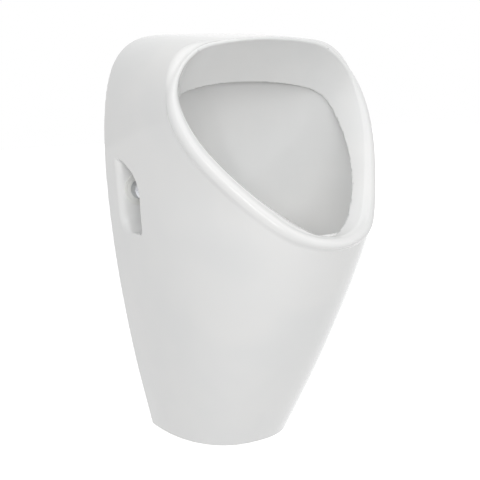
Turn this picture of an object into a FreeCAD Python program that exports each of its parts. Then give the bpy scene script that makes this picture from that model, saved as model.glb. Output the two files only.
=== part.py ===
"""Wall hung urinal in glazed vitreous china, with its fixings, back inlet and hidden bottle trap.

Frame: millimetres, +Z up, +X to the right of someone facing it. The wall is the plane Y = 0 and
the urinal stands out of it towards -Y. The origin lies on the wall, midway between the two fixings.
Inside this file a place is given as (across, out, height): out is the distance from the wall, and
height is measured from the bottom edge of the skirt.
"""
import FreeCAD, Part
import math
import os
from FreeCAD import Vector

# ---------------------------------------------------------------- overall sizes
WIDTH = 362.0            # widest part of the china, across
HEIGHT = 640.0           # bottom edge of the skirt to the top edge at the wall
REACH = 374.0            # wall to the front of the lip
DRAWN = (362.0, 374.0, 640.0)     # width, reach and height at which the form below is drawn

# ---------------------------------------------------------------- form of the outer skin, as drawn
# height, half width at the wall, reach of the plan curve, fullness of the plan curve
STATIONS = [
    (0.0, 109.4, 157.3, 2.39),
    (128.0, 138.8, 235.6, 2.29),
    (256.0, 161.6, 308.6, 2.18),
    (352.0, 173.7, 360.0, 2.06),
    (420.0, 179.1, 394.0, 1.90),
    (470.0, 180.8, 428.0, 2.01),
    (530.0, 178.2, 498.0, 2.25),
    (585.0, 171.9, 540.0, 2.30),
    (640.0, 162.2, 560.0, 2.30),
]
CROWN_START = 451.0      # height where the shoulders begin to round over
CROWN_FULLNESS = 5.3     # high: a flat top with round shoulders
EGG_DEPTH = 250.0        # the skin is carried on below the bottom edge, and cut off there

# ---------------------------------------------------------------- mouth, as drawn
CREST_LOW = (365.7, 372.6)        # out and height of the lowest point of the crest
CREST_TILT = 34.84                # degrees from upright
CREST_ARCS = [(84.8, 54.7), (757.0, 10.2), (209.0, 24.0), (76.3, 85.9)]   # radius, sweep
MOUTH_SET_BACK = 18.2             # how far the sides of the mouth lie behind its flat, at MOUTH_SPAN
MOUTH_SPAN = 150.0
MOUTH_SAG = 16.9                  # how far the middle height of the mouth lies behind its flat
LIP_LOW = (341.0, 370.0)          # the inner lip, below the collar, which is flat
LIP_TILT = 48.7
LIP_ARCS = [(38.8, 44.6), (353.0, 42.8), (38.2, 73.7)]

# ---------------------------------------------------------------- walls of the china
SKIN = 13.0              # outer wall
BOWL_WALL = 11.0         # bowl, collar and fixing recess walls
# cross section of the rolled rim: how far outside the crest, and how far behind the mouth's surface
RIM_OUTSIDE = [(6.0, 34.0), (9.0, 20.0), (13.0, 12.0), (13.5, 7.0), (11.0, 2.0), (8.0, 0.4)]
RIM_INSIDE = [(5.5, 0.2), (2.0, 1.6)]
RIM_EDGE_DEPTH = 6.0     # where the rounded inner edge runs into the collar
FLANGE = 26.0            # width of the flat band that lies on the wall
FLANGE_DEPTH = 16.0      # and how far out that band goes

# ---------------------------------------------------------------- bowl, as drawn
BOWL_BACK = 56.0         # wall to the inside of the bowl's back
# height, half width, front, centre (all out from the wall)
BOWL_ROWS = [
    (214.0, 58.0, 167.0, 108.0),
    (240.0, 84.0, 208.0, 120.0),
    (280.0, 106.0, 256.0, 140.0),
    (320.0, 120.0, 296.0, 165.0),
    (360.0, 130.0, 328.0, 190.0),
    (420.0, 137.0, 352.0, 197.0),
    (480.0, 144.0, 360.0, 200.0),
    (540.0, 150.0, 360.0, 200.0),
    (580.0, 150.0, 340.0, 198.0),
    (612.0, 140.0, 300.0, 190.0),
]
BOWL_FULLNESS = 1.9

# ---------------------------------------------------------------- clearances
GAP = 0.3                # between round faces that fit in or on one another

# ---------------------------------------------------------------- drain and waste
DRAIN_OUT = 100.0        # wall to the centre of the drain, so that the cup clears the skirt
DRAIN_HEIGHT = 206.0     # bottom of the bowl
SEAT_R = 40.0            # flat seat round the drain hole
DRAIN_FLOOR = 14.0       # china under the seat
DRAIN_HOLE_PLAY = 2.0    # round the waste tail
WASTE_R = 23.9           # waste tail, outside (G 1 1/2)
WASTE_WALL = 2.6
WASTE_FLANGE = 11.1      # how far the flange stands out from the tail
WASTE_FLANGE_T = 4.0
WASTE_GASKET_T = 2.5
BACKNUT_T = 10.0
BACKNUT_WALL = 6.1
GRATE_LEDGE = 5.7        # how far the strainer lies over the edge of the bore
GRATE_T = 2.0
GRATE_SPIGOT = 6.0       # ring under the strainer that locates it in the tail
GRATE_HOLE_R = 2.4
GRATE_RINGS = [(0.0, 1), (8.5, 6), (16.5, 12)]     # radius and number of holes

# ---------------------------------------------------------------- bottle trap
TRAP_TOP = 141.0         # ledge in the neck, which carries the dip tube
TRAP_R = 38.0            # outside of the bottle
TRAP_WALL = 3.0
TRAP_BOTTOM = 12.0       # underside of the cup
NECK_LENGTH = 19.0
NECK_WALL = 3.3
SHOULDER_FALL = 9.0
INLET_NUT_WALL = 4.4     # union nut on the neck, between its finger ribs
OUTLET_NUT_WALL = 4.3    # union nut on the outlet branch
SLIP_NUT_LENGTH = 20.0
SLIP_NUT_LID = 3.0
SLIP_SEAL_T = 5.0
DIP_R = 19.5             # dip tube, outside
DIP_WALL = 1.8
DIP_FLANGE_T = 3.0
SEAL_DEPTH = 52.0        # water seal
CUP_HEIGHT = 34.0
CUP_WALL = 3.0
CUP_FLOOR = 3.0
CUP_SEAL_T = 3.0
CUP_SEAL_WIDTH = 4.0
CUP_STEP = 2.0           # ring in the cup that carries its seal
FINGER_RIB_R = 1.8
FINGER_RIBS = 14
OUTLET_HEIGHT = 108.0
OUTLET_R = 25.0          # outlet pipe, outside (DN 50)
OUTLET_WALL = 1.8
OUTLET_BRANCH_END = 46.0 # wall to the end of the bottle's branch
OUTLET_SOCKET = 17.0     # how far the pipe is pushed into the branch
OUTLET_INTO_WALL = 80.0  # how far the pipe goes past the wall face
WALL_SEAL_T = 4.7
WALL_SEAL_FROM = 6.0     # depth in the wall where the rubber lip seal starts
WALL_SEAL_LENGTH = 30.0

# ---------------------------------------------------------------- inlet at the back
INLET_DROP = 50.0        # top edge to the centre of the inlet
INLET_R = 10.45          # inlet tail, outside (G 1/2)
INLET_BORE_R = 7.0
INLET_HOLE_R = 15.0      # hole in the bowl's back
INLET_PAD_R = 22.0       # flat pad on both sides of that hole
INLET_PAD_PROUD = 2.0
INLET_GASKET_R = 20.0
INLET_GASKET_T = 2.5
INLET_NUT_ACROSS = 30.0
INLET_NUT_T = 8.0
INLET_COLLAR_ACROSS = 27.0
INLET_COLLAR = (4.0, 12.0)       # where the tail's hexagon starts and ends, from the wall
INLET_INTO_WALL = 15.0
SPREADER_FLANGE_R = 21.0
SPREADER_FLANGE_T = 3.0
SPREADER_R = 18.0
SPREADER_LENGTH = 24.0
SPREADER_WALL = 3.0
SPREADER_JET_R = 2.5
SPREADER_JETS = 7

# ---------------------------------------------------------------- fixings at the sides
FIXING_HEIGHT = 408.0    # bottom edge to the fixings
FIXING_SET_IN = 34.0     # side of the china to the centre of a fixing
RECESS_FLOOR = 42.0      # wall to the seat of a fixing
RECESS_OUT = 98.0        # wall to the front of the recess
RECESS_DROP = 62.0       # fixing down to the ledge
RECESS_RISE = 43.0       # fixing up to the top of the arch
RECESS_DEPTH = 29.0      # fixing inwards to the end of the recess
RECESS_ARCH_R = 46.0
RECESS_CORNER_R = 10.0
HOLE_R = 9.0             # bolt hole
BUSH_R = 25.0            # flange of the plastic bush
BUSH_T = 3.0
BUSH_SLEEVE = 30.0
STUD_R = 5.0             # M10
STUD_STAND = 60.0        # wall to the end of the stud
STUD_INTO_WALL = 62.0
SCREW_R = 4.0            # the wood screw end of the stud
SCREW_POINT = 8.0
PLUG_R = 7.0
PLUG_LENGTH = 70.0
PLUG_SLIT = 1.2
PLUG_SOLID = 18.0        # length of the plug before its slits
PLUG_TIP = 6.0           # its closed end
WASHER_R = 10.5
WASHER_T = 2.0
NUT_ACROSS = 17.0
NUT_T = 8.0
CAP_R = 15.5
CAP_WALL = 1.2
CAP_LENGTH = 22.0
CAP_ROUND = 6.0
CAP_SPIGOT_T = 5.0       # raised ring on the bush that the cap is pushed over
CAP_SPIGOT_WALL = 2.0

SX, SY, SZ = (WIDTH / DRAWN[0], REACH / DRAWN[1], HEIGHT / DRAWN[2])
BIG = 900.0


# ================================================================ places and curves
def at(across, out, height):
    """A place in the model's frame."""
    return Vector(across, -out, height - FIXING_HEIGHT)


def drawn(across, out, height):
    """A place on the form as drawn, stretched to the overall sizes."""
    return at(across * SX, out * SY, height * SZ)


def along(height, column):
    """A station value at any drawn height, on a smooth curve through the stations."""
    rows = STATIONS
    last = len(rows) - 1

    def slope(j):
        a, b = rows[max(j - 1, 0)], rows[min(j + 1, last)]
        return (b[column] - a[column]) / (b[0] - a[0])

    if height <= rows[0][0]:
        return rows[0][column] + slope(0) * (height - rows[0][0])
    if height >= rows[last][0]:
        return rows[last][column]
    i = max(j for j in range(last) if rows[j][0] <= height)
    a, b = rows[i], rows[i + 1]
    step = b[0] - a[0]
    t = (height - a[0]) / step
    return (a[column] * (1 + 2 * t) * (1 - t) ** 2 + b[column] * t * t * (3 - 2 * t)
            + step * t * (1 - t) * (slope(i) * (1 - t) - slope(i + 1) * t))


def half_width(height, out, inset=0.0):
    """Half width of the china at a height and a distance out, or -1 outside it."""
    close = 1.0 if height >= 0 else math.sqrt(max(0.0, 1 - (height / (EGG_DEPTH * SZ)) ** 2))
    level = height / SZ
    half = (along(level, 1) * SX - inset) * close
    reach = (along(level, 2) * SY - inset) * close
    fullness = along(level, 3)
    if half <= 0 or out >= reach:
        return -1.0
    plan = (1 - (max(out, 0.0) / reach) ** fullness) ** (1 / fullness)
    crown = max(0.0, (height - CROWN_START * SZ) / (HEIGHT - inset - CROWN_START * SZ))
    rest = plan ** CROWN_FULLNESS - crown ** CROWN_FULLNESS
    return half * rest ** (1 / CROWN_FULLNESS) if rest >= 0 else -1.0


def spread(points, count):
    """The same line, with its points spaced evenly."""
    run = [0.0]
    for a, b in zip(points, points[1:]):
        run.append(run[-1] + (b - a).Length)
    out, j = [], 0
    for i in range(count):
        goal = run[-1] * i / (count - 1)
        while j < len(run) - 2 and run[j + 1] < goal:
            j += 1
        out.append(points[j] + (points[j + 1] - points[j]) * ((goal - run[j]) / (run[j + 1] - run[j])))
    return out


def skin_row(out, inset=0.0, count=72, fine=900):
    """Half outline of the china at one distance from the wall, bottom to top."""
    middle = max(range(int(-EGG_DEPTH * SZ) + 5, int(HEIGHT), 5), key=lambda h: half_width(h, out, inset))
    ends = []
    for edge in (-EGG_DEPTH * SZ - 1, HEIGHT + 1):
        inside, outside = middle, edge
        for _ in range(50):
            mid = (inside + outside) / 2
            if half_width(mid, out, inset) >= 0:
                inside = mid
            else:
                outside = mid
        ends.append(inside)
    points = []
    for i in range(fine + 1):
        height = ends[0] + (ends[1] - ends[0]) * (1 - math.cos(math.pi * i / fine)) / 2
        across = 0.0 if i in (0, fine) else max(half_width(height, out, inset), 0.0)
        points.append(at(across, out, height))
    return spread(points, count)


def arc_chain(arcs, count=12):
    """Half of a round triangle: tangent arcs from its lowest point, the last one back to the middle."""
    sweeps = [math.radians(sweep) for _, sweep in arcs]
    sweeps.append(math.pi - sum(sweeps))
    radii = [radius for radius, _ in arcs]
    x, v, turned = 0.0, 0.0, 0.0
    for radius, sweep in zip(radii, sweeps):
        x += radius * (math.sin(turned + sweep) - math.sin(turned))
        turned += sweep
    radii.append(x / math.sin(sweeps[-1]))
    points = [(0.0, 0.0)]
    x, turned = 0.0, 0.0
    for radius, sweep in zip(radii, sweeps):
        for i in range(1, count + 1):
            angle = turned + sweep * i / count
            points.append((x + radius * (math.sin(angle) - math.sin(turned)),
                           v - radius * (math.cos(angle) - math.cos(turned))))
        x, v = points[-1]
        turned += sweep
    points[-1] = (0.0, points[-1][1])
    return points


def grown(outline, distance):
    """A half outline moved outwards by a distance."""
    moved = []
    last = len(outline) - 1
    for i, (x, v) in enumerate(outline):
        ax, av = outline[max(i - 1, 0)]
        bx, bv = outline[min(i + 1, last)]
        dx, dv = (1.0, 0.0) if i == 0 else (-1.0, 0.0) if i == last else (bx - ax, bv - av)
        size = math.hypot(dx, dv)
        moved.append((x + distance * dv / size, v - distance * dx / size))
    return moved


def crest_place(x, v, length, lift=0.0, curved=True):
    """A point of the mouth: x across, v up its slope, lift in front of its surface."""
    tilt = math.radians(CREST_TILT)
    share = v / length
    if curved:
        lift -= MOUTH_SET_BACK * (x / MOUTH_SPAN) ** 2 + MOUTH_SAG * 4 * share * (1 - share)
    return drawn(x, CREST_LOW[0] - math.sin(tilt) * v + math.cos(tilt) * lift,
                 CREST_LOW[1] + math.cos(tilt) * v + math.sin(tilt) * lift)


def lip_place(x, v, lift=0.0):
    """A point of the inner lip, which is flat."""
    tilt = math.radians(LIP_TILT)
    return drawn(x, LIP_LOW[0] - math.sin(tilt) * v + math.cos(tilt) * lift,
                 LIP_LOW[1] + math.cos(tilt) * v + math.sin(tilt) * lift)


# ================================================================ solids from curves
def spline(points):
    curve = Part.BSplineCurve()
    curve.interpolate(points)
    return curve.toShape()


def closed_half(skins, first, last, low, high):
    """A solid on one side of the plane X = 0, from its skins and its first and last rows."""
    ends = [Part.makeLine(row.valueAt(row.FirstParameter), row.valueAt(row.LastParameter))
            for row in (first, last)]
    caps = [Part.Face(Part.Wire([row, end])) for row, end in zip((first, last), ends)]
    middle = Part.Face(Part.Wire(Part.__sortEdges__(low + [ends[1]] + high + [ends[0]])))
    shell = Part.makeShell(skins + caps + [middle])
    shell.sewShape()
    solid = Part.Solid(shell)
    if solid.Volume < 0:
        solid.reverse()
    return solid


def smooth_half(rows):
    """One smooth surface through rows of points that start and end on X = 0, closed as a solid."""
    surface = Part.BSplineSurface()
    surface.interpolate(rows)
    u0, u1, v0, v1 = surface.bounds()
    return closed_half([surface.toShape()], surface.uIso(u0).toShape(), surface.uIso(u1).toShape(),
                       [surface.vIso(v0).toShape()], [surface.vIso(v1).toShape()])


def ruled_half(rows):
    """Straight walls between rows of points that start and end on X = 0, closed as a solid."""
    curves = [spline(row) for row in rows]
    skins = [Part.makeRuledSurface(a, b) for a, b in zip(curves, curves[1:])]
    low = [Part.makeLine(a[0], b[0]) for a, b in zip(rows, rows[1:])]
    high = [Part.makeLine(a[-1], b[-1]) for a, b in zip(rows, rows[1:])]
    return closed_half(skins, curves[0], curves[-1], low, high)


def mirrored(shape):
    return shape.mirror(Vector(0, 0, 0), Vector(1, 0, 0))


def upright(radius, low, high, across=0.0, out=DRAIN_OUT):
    """A cylinder on a vertical axis."""
    return Part.makeCylinder(radius, high - low, at(across, out, low), Vector(0, 0, 1))


def level(radius, near, far, across, height):
    """A cylinder on an axis square to the wall, from near to far out."""
    return Part.makeCylinder(radius, far - near, at(across, near, height), Vector(0, -1, 0))


def turned_upright(profile, across=0.0, out=DRAIN_OUT):
    """A solid of revolution on a vertical axis, from (radius, height) points."""
    points = [at(across + radius, out, height) for radius, height in profile]
    face = Part.Face(Part.makePolygon(points + points[:1]))
    return face.revolve(at(across, out, 0), Vector(0, 0, 1), 360)


def turned_level(profile, across, height):
    """A solid of revolution on an axis square to the wall, from (radius, out) points."""
    points = [at(across + radius, out, height) for radius, out in profile]
    face = Part.Face(Part.makePolygon(points + points[:1]))
    return face.revolve(at(across, 0, height), Vector(0, -1, 0), 360)


def hexagon(across_flats, depth, centre, axis):
    """A hexagonal prism with its first face at centre, along axis."""
    radius = across_flats / math.sqrt(3)
    side = Vector(0, 0, 1) if abs(axis.z) < 0.5 else Vector(1, 0, 0)
    other = axis.cross(side)
    points = [centre + side * (radius * math.cos(math.radians(60 * i)))
              + other * (radius * math.sin(math.radians(60 * i))) for i in range(7)]
    return Part.Face(Part.makePolygon(points)).extrude(axis * depth)


def ribbed(core, count, radius, rib_r, low, high, out=DRAIN_OUT, across=0.0):
    """A turned part with round finger ribs on its outside, on a vertical axis."""
    for i in range(count):
        angle = 2 * math.pi * i / count
        core = core.fuse(upright(rib_r, low, high, across + radius * math.cos(angle),
                                 out + radius * math.sin(angle)))
    return core


# ================================================================ the china
def mouth_cut():
    """Everything in front of the mouth's curved surface."""
    length = arc_chain(CREST_ARCS)[-1][1]
    x_end, v_low, v_high = 300.0, -200.0, 520.0
    across = [(-x_end, 1.0), (0.0, -1.0), (x_end, 1.0)]
    v_mid = (v_low + v_high) / 2

    def sag(v):
        return MOUTH_SAG * 4 * (v / length) * (1 - v / length)

    def sag_slope(v):
        return MOUTH_SAG * 4 * (1 - 2 * v / length) / length

    up = [(v_low, sag(v_low)), (v_mid, sag(v_low) + sag_slope(v_low) * (v_high - v_low) / 2),
          (v_high, sag(v_high))]
    surface = Part.BezierSurface()
    surface.increase(2, 2)
    for i, (x, side) in enumerate(across):
        for j, (v, middle) in enumerate(up):
            lift = -side * MOUTH_SET_BACK * (x_end / MOUTH_SPAN) ** 2 - middle
            surface.setPole(i + 1, j + 1, crest_place(x, v, length, lift, curved=False))
    tilt = math.radians(CREST_TILT)
    outwards = Vector(0, -math.cos(tilt) * SY, math.sin(tilt) * SZ)
    return surface.toShape().extrude(outwards * BIG)


def rim_rows(section, count=40):
    """Rows round the mouth, one for each (outwards, behind) step of the rim's cross section."""
    crest = arc_chain(CREST_ARCS)
    length = crest[-1][1]
    rows = []
    for outwards, behind in section:
        rows.append([crest_place(x, v, length, -behind) for x, v in grown(crest, outwards)])
    return [spread(row, count) for row in rows]


def flat_row(outwards, lift, count=40):
    """A flat row of the mouth's outline, in front of the rim or deep behind it."""
    crest = arc_chain(CREST_ARCS)
    length = crest[-1][1]
    return spread([crest_place(x, v, length, lift, curved=False) for x, v in grown(crest, outwards)], count)


def rolled_rim():
    """The flared outside of the rim, as a plug that fills the mouth up to its surface."""
    rows = rim_rows(RIM_OUTSIDE)
    return ruled_half([flat_row(-8.0, -95.0)] + rows + [flat_row(RIM_OUTSIDE[-1][0] - 1.0, 60.0)])


def collar(grow, overrun, edge=()):
    """The funnel from the crest of the rim to the inner lip, with the rim's inner edge rounded."""
    lip = grown(arc_chain(LIP_ARCS, 15), grow)
    start = edge[0][0] if edge else grow
    rows = [flat_row(start, 60.0)] + rim_rows(list(edge) + [(grow, RIM_EDGE_DEPTH)])
    rows.append(spread([lip_place(x, v) for x, v in lip], 40))
    if overrun:
        rows.append(spread([lip_place(x, v, -overrun) for x, v in lip], 40))
    return ruled_half(rows)


def bowl(grow, floor, ceiling):
    """The bowl as a solid: its inside, or with grow its outside."""
    rise = (HEIGHT - DRAIN_HEIGHT) / (DRAWN[2] - DRAIN_HEIGHT)
    rows = [(DRAIN_HEIGHT - floor, SEAT_R + grow, DRAIN_OUT + SEAT_R + grow, DRAIN_OUT,
             DRAIN_OUT - SEAT_R - grow, 2.0)]
    for height, half, front, centre in BOWL_ROWS:
        rows.append((DRAIN_HEIGHT + (height - DRAIN_HEIGHT) * rise - floor * (height < 300.0),
                     half * SX + grow, front * SY + grow, centre * SY, BOWL_BACK - grow, BOWL_FULLNESS))
    last = rows[-1]
    rows[-1] = (last[0] + ceiling,) + last[1:]
    grid = []
    for height, half, front, centre, back, fullness in rows:
        row = []
        for i in range(25):
            angle = math.pi * i / 24
            depth = front - centre if i <= 12 else centre - back
            cosine, sine = math.cos(angle), math.sin(angle)
            across = half * abs(sine) ** (2 / fullness) if i not in (0, 24) else 0.0
            out = centre + math.copysign(depth * abs(cosine) ** (2 / fullness), cosine)
            row.append(at(across, out, height))
        grid.append(spread(row, 25))
    return smooth_half(grid)


def fixing_across():
    """How far each fixing is from the middle."""
    return half_width(FIXING_HEIGHT, RECESS_FLOOR) - FIXING_SET_IN


def recess(grow):
    """The open recess in the side that holds a fixing, extruded from inside to past the skin."""
    back, front = RECESS_FLOOR - grow, RECESS_OUT + grow
    low, high = FIXING_HEIGHT - RECESS_DROP - grow, FIXING_HEIGHT + RECESS_RISE + grow
    arch, corner = RECESS_ARCH_R + grow, RECESS_CORNER_R + grow
    x = fixing_across() - RECESS_DEPTH - grow
    diagonal = math.sqrt(0.5)
    a = at(x, back, low)
    b = at(x, front - corner, low)
    b_mid = at(x, front - corner * (1 - diagonal), low + corner * (1 - diagonal))
    c = at(x, front, low + corner)
    d = at(x, front, high - arch)
    d_mid = at(x, front - arch * (1 - diagonal), high - arch * (1 - diagonal))
    e = at(x, front - arch, high)
    f = at(x, back, high)
    wire = Part.Wire([Part.makeLine(a, b), Part.Arc(b, b_mid, c).toShape(), Part.makeLine(c, d),
                      Part.Arc(d, d_mid, e).toShape(), Part.makeLine(e, f), Part.makeLine(f, a)])
    return Part.Face(wire).extrude(Vector(BIG, 0, 0))


def ceramic_body():
    """Outer skin, bowl, collar, rolled rim and fixing recesses, one casting, hollow between."""
    x = fixing_across()
    skin = smooth_half([skin_row(out * SY) for out in (0, 40, 80, 120, 160, 200, 240, 280, 320, 360, 400)])
    below = Part.makeBox(2 * BIG, 2 * BIG, BIG, Vector(-BIG, -BIG, -BIG - FIXING_HEIGHT))
    skin = skin.cut(below).fuse(rolled_rim()).cut(mouth_cut())

    inside = smooth_half([skin_row(FLANGE_DEPTH + (out - FLANGE_DEPTH) * SY, SKIN)
                          for out in (FLANGE_DEPTH, 50, 90, 150, 210, 270, 320, 360)])
    opening = ruled_half([skin_row(out, FLANGE) for out in (-2.0, FLANGE_DEPTH + 2.0)])
    hollow = inside.fuse(opening)
    boss = level(BUSH_R - 3.0, -2.0, RECESS_FLOOR, x, FIXING_HEIGHT)
    inlet = HEIGHT - INLET_DROP
    pad = level(INLET_PAD_R, BOWL_BACK - BOWL_WALL - INLET_PAD_PROUD, BOWL_BACK + INLET_PAD_PROUD,
                0.0, inlet)
    solids = [bowl(BOWL_WALL, DRAIN_FLOOR, BOWL_WALL), collar(BOWL_WALL, 0.0), recess(BOWL_WALL),
              boss, pad]
    for solid in solids:
        hollow = hollow.cut(solid)
    cavity = bowl(0.0, 0.0, 0.0).cut(collar(BOWL_WALL - 1.0, 0.0)).cut(recess(BOWL_WALL)).cut(pad)

    body = skin.cut(hollow).cut(cavity).cut(collar(0.0, 2.0, RIM_INSIDE)).cut(recess(0.0))
    body = body.cut(level(HOLE_R, -5.0, RECESS_FLOOR + 5.0, x, FIXING_HEIGHT))
    body = body.cut(upright(WASTE_R + DRAIN_HOLE_PLAY, DRAIN_HEIGHT - 60.0, DRAIN_HEIGHT + 5.0))
    body = body.cut(level(INLET_HOLE_R, 0.0, 2 * BOWL_BACK, 0.0, inlet))
    return body.fuse(mirrored(body)).removeSplitter()


# ================================================================ waste in the bottom of the bowl
def ring_upright(outer, inner, low, high, out=DRAIN_OUT):
    return upright(outer, low, high, out=out).cut(upright(inner, low - 1.0, high + 1.0, out=out))


def ring_level(outer, inner, near, far, across, height):
    return level(outer, near, far, across, height).cut(level(inner, near - 1.0, far + 1.0, across, height))


def waste_parts():
    """Strainer, waste with its flange and tail, two gaskets and the nut that pulls them together."""
    bore = WASTE_R - WASTE_WALL
    flange_r = WASTE_R + WASTE_FLANGE
    grate_r = bore + GRATE_LEDGE
    flange_low = DRAIN_HEIGHT + WASTE_GASKET_T
    flange_high = flange_low + WASTE_FLANGE_T
    ledge = flange_high - GRATE_T
    tail_low = TRAP_TOP + DIP_FLANGE_T + 1.0
    under = DRAIN_HEIGHT - DRAIN_FLOOR
    body = turned_upright([(bore, tail_low), (WASTE_R, tail_low), (WASTE_R, flange_low),
                           (flange_r, flange_low), (flange_r, flange_low + 1.5),
                           (flange_r - 3.0, flange_high), (grate_r + GAP, flange_high),
                           (grate_r + GAP, ledge), (bore, ledge)])
    grate = upright(grate_r, ledge, flange_high)
    grate = grate.fuse(ring_upright(bore - GAP, bore - GAP - 1.6, ledge - GRATE_SPIGOT, ledge))
    for radius, count in GRATE_RINGS:
        for i in range(count):
            angle = 2 * math.pi * i / count
            grate = grate.cut(upright(GRATE_HOLE_R, ledge - 1.0, flange_high + 1.0,
                                      radius * math.cos(angle), DRAIN_OUT + radius * math.sin(angle)))
    nut_high = under - WASTE_GASKET_T
    nut = hexagon(2 * (WASTE_R + BACKNUT_WALL), BACKNUT_T, at(0, DRAIN_OUT, nut_high - BACKNUT_T),
                  Vector(0, 0, 1))
    nut = nut.fuse(upright(flange_r, nut_high - 2.5, nut_high))
    return {
        "waste_grate": grate,
        "waste_body": body,
        "waste_top_gasket": ring_upright(flange_r - 1.0, WASTE_R + GAP, DRAIN_HEIGHT, flange_low),
        "waste_bottom_gasket": ring_upright(flange_r - 1.0, WASTE_R + GAP, nut_high, under),
        "waste_backnut": nut.cut(upright(WASTE_R + GAP, nut_high - BACKNUT_T - 1.0, nut_high + 1.0)),
    }


# ================================================================ bottle trap under it
def slip_nut(bore, thread, wall):
    """A ribbed union nut round Z, lid at the top: the pipe goes through bore, it screws on thread."""
    radius = thread + GAP + wall
    nut = Part.makeCylinder(radius, SLIP_NUT_LENGTH)
    for i in range(FINGER_RIBS):
        angle = 2 * math.pi * i / FINGER_RIBS
        place = Vector(radius * math.cos(angle), radius * math.sin(angle), 0)
        nut = nut.fuse(Part.makeCylinder(FINGER_RIB_R, SLIP_NUT_LENGTH, place))
    nut = nut.cut(Part.makeCylinder(bore, SLIP_NUT_LENGTH + 2.0, Vector(0, 0, -1.0)))
    return nut.cut(Part.makeCylinder(thread + GAP, SLIP_NUT_LENGTH - SLIP_NUT_LID + 1.0, Vector(0, 0, -1.0)))


def trap_parts():
    """Bottle, dip tube, unscrewing cup, and the union nuts and seals at both ends."""
    neck_bore = WASTE_R + GAP
    neck_r = neck_bore + NECK_WALL
    neck_top = TRAP_TOP + NECK_LENGTH
    ledge_low = TRAP_TOP - 3.0
    shoulder = ledge_low - SHOULDER_FALL
    inside = TRAP_R - TRAP_WALL
    rim_low = TRAP_BOTTOM + CUP_FLOOR + CUP_STEP + CUP_SEAL_T
    bottle = turned_upright([(neck_bore, neck_top), (neck_r, neck_top), (neck_r, ledge_low),
                             (TRAP_R, shoulder), (TRAP_R, rim_low), (inside, rim_low),
                             (inside, shoulder - TRAP_WALL), (neck_bore, ledge_low - TRAP_WALL),
                             (DIP_R + GAP, ledge_low - TRAP_WALL), (DIP_R + GAP, TRAP_TOP),
                             (neck_bore, TRAP_TOP)])
    socket_r = OUTLET_R + GAP
    branch_r = socket_r + NECK_WALL
    stop = OUTLET_BRANCH_END + OUTLET_SOCKET
    room = turned_upright([(0.0, rim_low), (inside, rim_low), (inside, shoulder - TRAP_WALL),
                           (neck_bore, ledge_low - TRAP_WALL), (DIP_R + GAP, ledge_low - TRAP_WALL),
                           (DIP_R + GAP, TRAP_TOP), (neck_bore, TRAP_TOP), (neck_bore, neck_top),
                           (0.0, neck_top)])
    branch = level(branch_r, OUTLET_BRANCH_END, DRAIN_OUT, 0.0, OUTLET_HEIGHT).cut(room)
    bottle = bottle.fuse(branch)
    bottle = bottle.cut(level(socket_r, OUTLET_BRANCH_END - 1.0, stop, 0.0, OUTLET_HEIGHT))
    bottle = bottle.cut(level(OUTLET_R - OUTLET_WALL, stop - 1.0, DRAIN_OUT - DIP_R, 0.0, OUTLET_HEIGHT))

    dip_low = OUTLET_HEIGHT - (OUTLET_R - OUTLET_WALL) - SEAL_DEPTH
    dip = ring_upright(DIP_R, DIP_R - DIP_WALL, dip_low, TRAP_TOP)
    dip = dip.fuse(ring_upright(neck_bore - GAP, DIP_R - DIP_WALL, TRAP_TOP, TRAP_TOP + DIP_FLANGE_T))

    cup_bore = TRAP_R + GAP
    cup_r = cup_bore + CUP_WALL
    cup_top = TRAP_BOTTOM + CUP_HEIGHT
    floor = TRAP_BOTTOM + CUP_FLOOR
    seal_in = TRAP_R - CUP_SEAL_WIDTH
    cup = turned_upright([(0.0, TRAP_BOTTOM), (cup_r - 3.0, TRAP_BOTTOM), (cup_r, TRAP_BOTTOM + 3.0),
                          (cup_r, cup_top), (cup_bore, cup_top), (cup_bore, floor + CUP_STEP),
                          (seal_in, floor + CUP_STEP), (seal_in, floor), (0.0, floor)])
    cup = ribbed(cup, FINGER_RIBS, cup_r - 0.6, FINGER_RIB_R, TRAP_BOTTOM + 4.0, cup_top - 4.0)
    cup_seal = ring_upright(TRAP_R, seal_in, floor + CUP_STEP, rim_low)

    inlet_nut = slip_nut(neck_bore, neck_r, INLET_NUT_WALL)
    inlet_top = neck_top + SLIP_SEAL_T + SLIP_NUT_LID
    inlet_nut.translate(at(0, DRAIN_OUT, inlet_top - SLIP_NUT_LENGTH))
    outlet_nut = slip_nut(socket_r, branch_r, OUTLET_NUT_WALL)
    outlet_nut.rotate(Vector(0, 0, 0), Vector(1, 0, 0), -90)
    nut_near = OUTLET_BRANCH_END - SLIP_SEAL_T - SLIP_NUT_LID
    outlet_nut.translate(at(0, nut_near + SLIP_NUT_LENGTH, OUTLET_HEIGHT))
    return {
        "trap_body": bottle,
        "trap_dip_tube": dip,
        "trap_cup": cup,
        "trap_cup_seal": cup_seal,
        "trap_inlet_nut": inlet_nut,
        "trap_inlet_seal": ring_upright(neck_r, neck_bore, neck_top, neck_top + SLIP_SEAL_T),
        "trap_outlet_nut": outlet_nut,
        "trap_outlet_seal": ring_level(branch_r, socket_r, OUTLET_BRANCH_END - SLIP_SEAL_T,
                                       OUTLET_BRANCH_END, 0.0, OUTLET_HEIGHT),
        "outlet_pipe": ring_level(OUTLET_R, OUTLET_R - OUTLET_WALL, -OUTLET_INTO_WALL, stop - 1.0,
                                  0.0, OUTLET_HEIGHT),
        "outlet_wall_seal": ring_level(socket_r + WALL_SEAL_T, socket_r, -WALL_SEAL_FROM - WALL_SEAL_LENGTH,
                                       -WALL_SEAL_FROM, 0.0, OUTLET_HEIGHT),
    }


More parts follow.
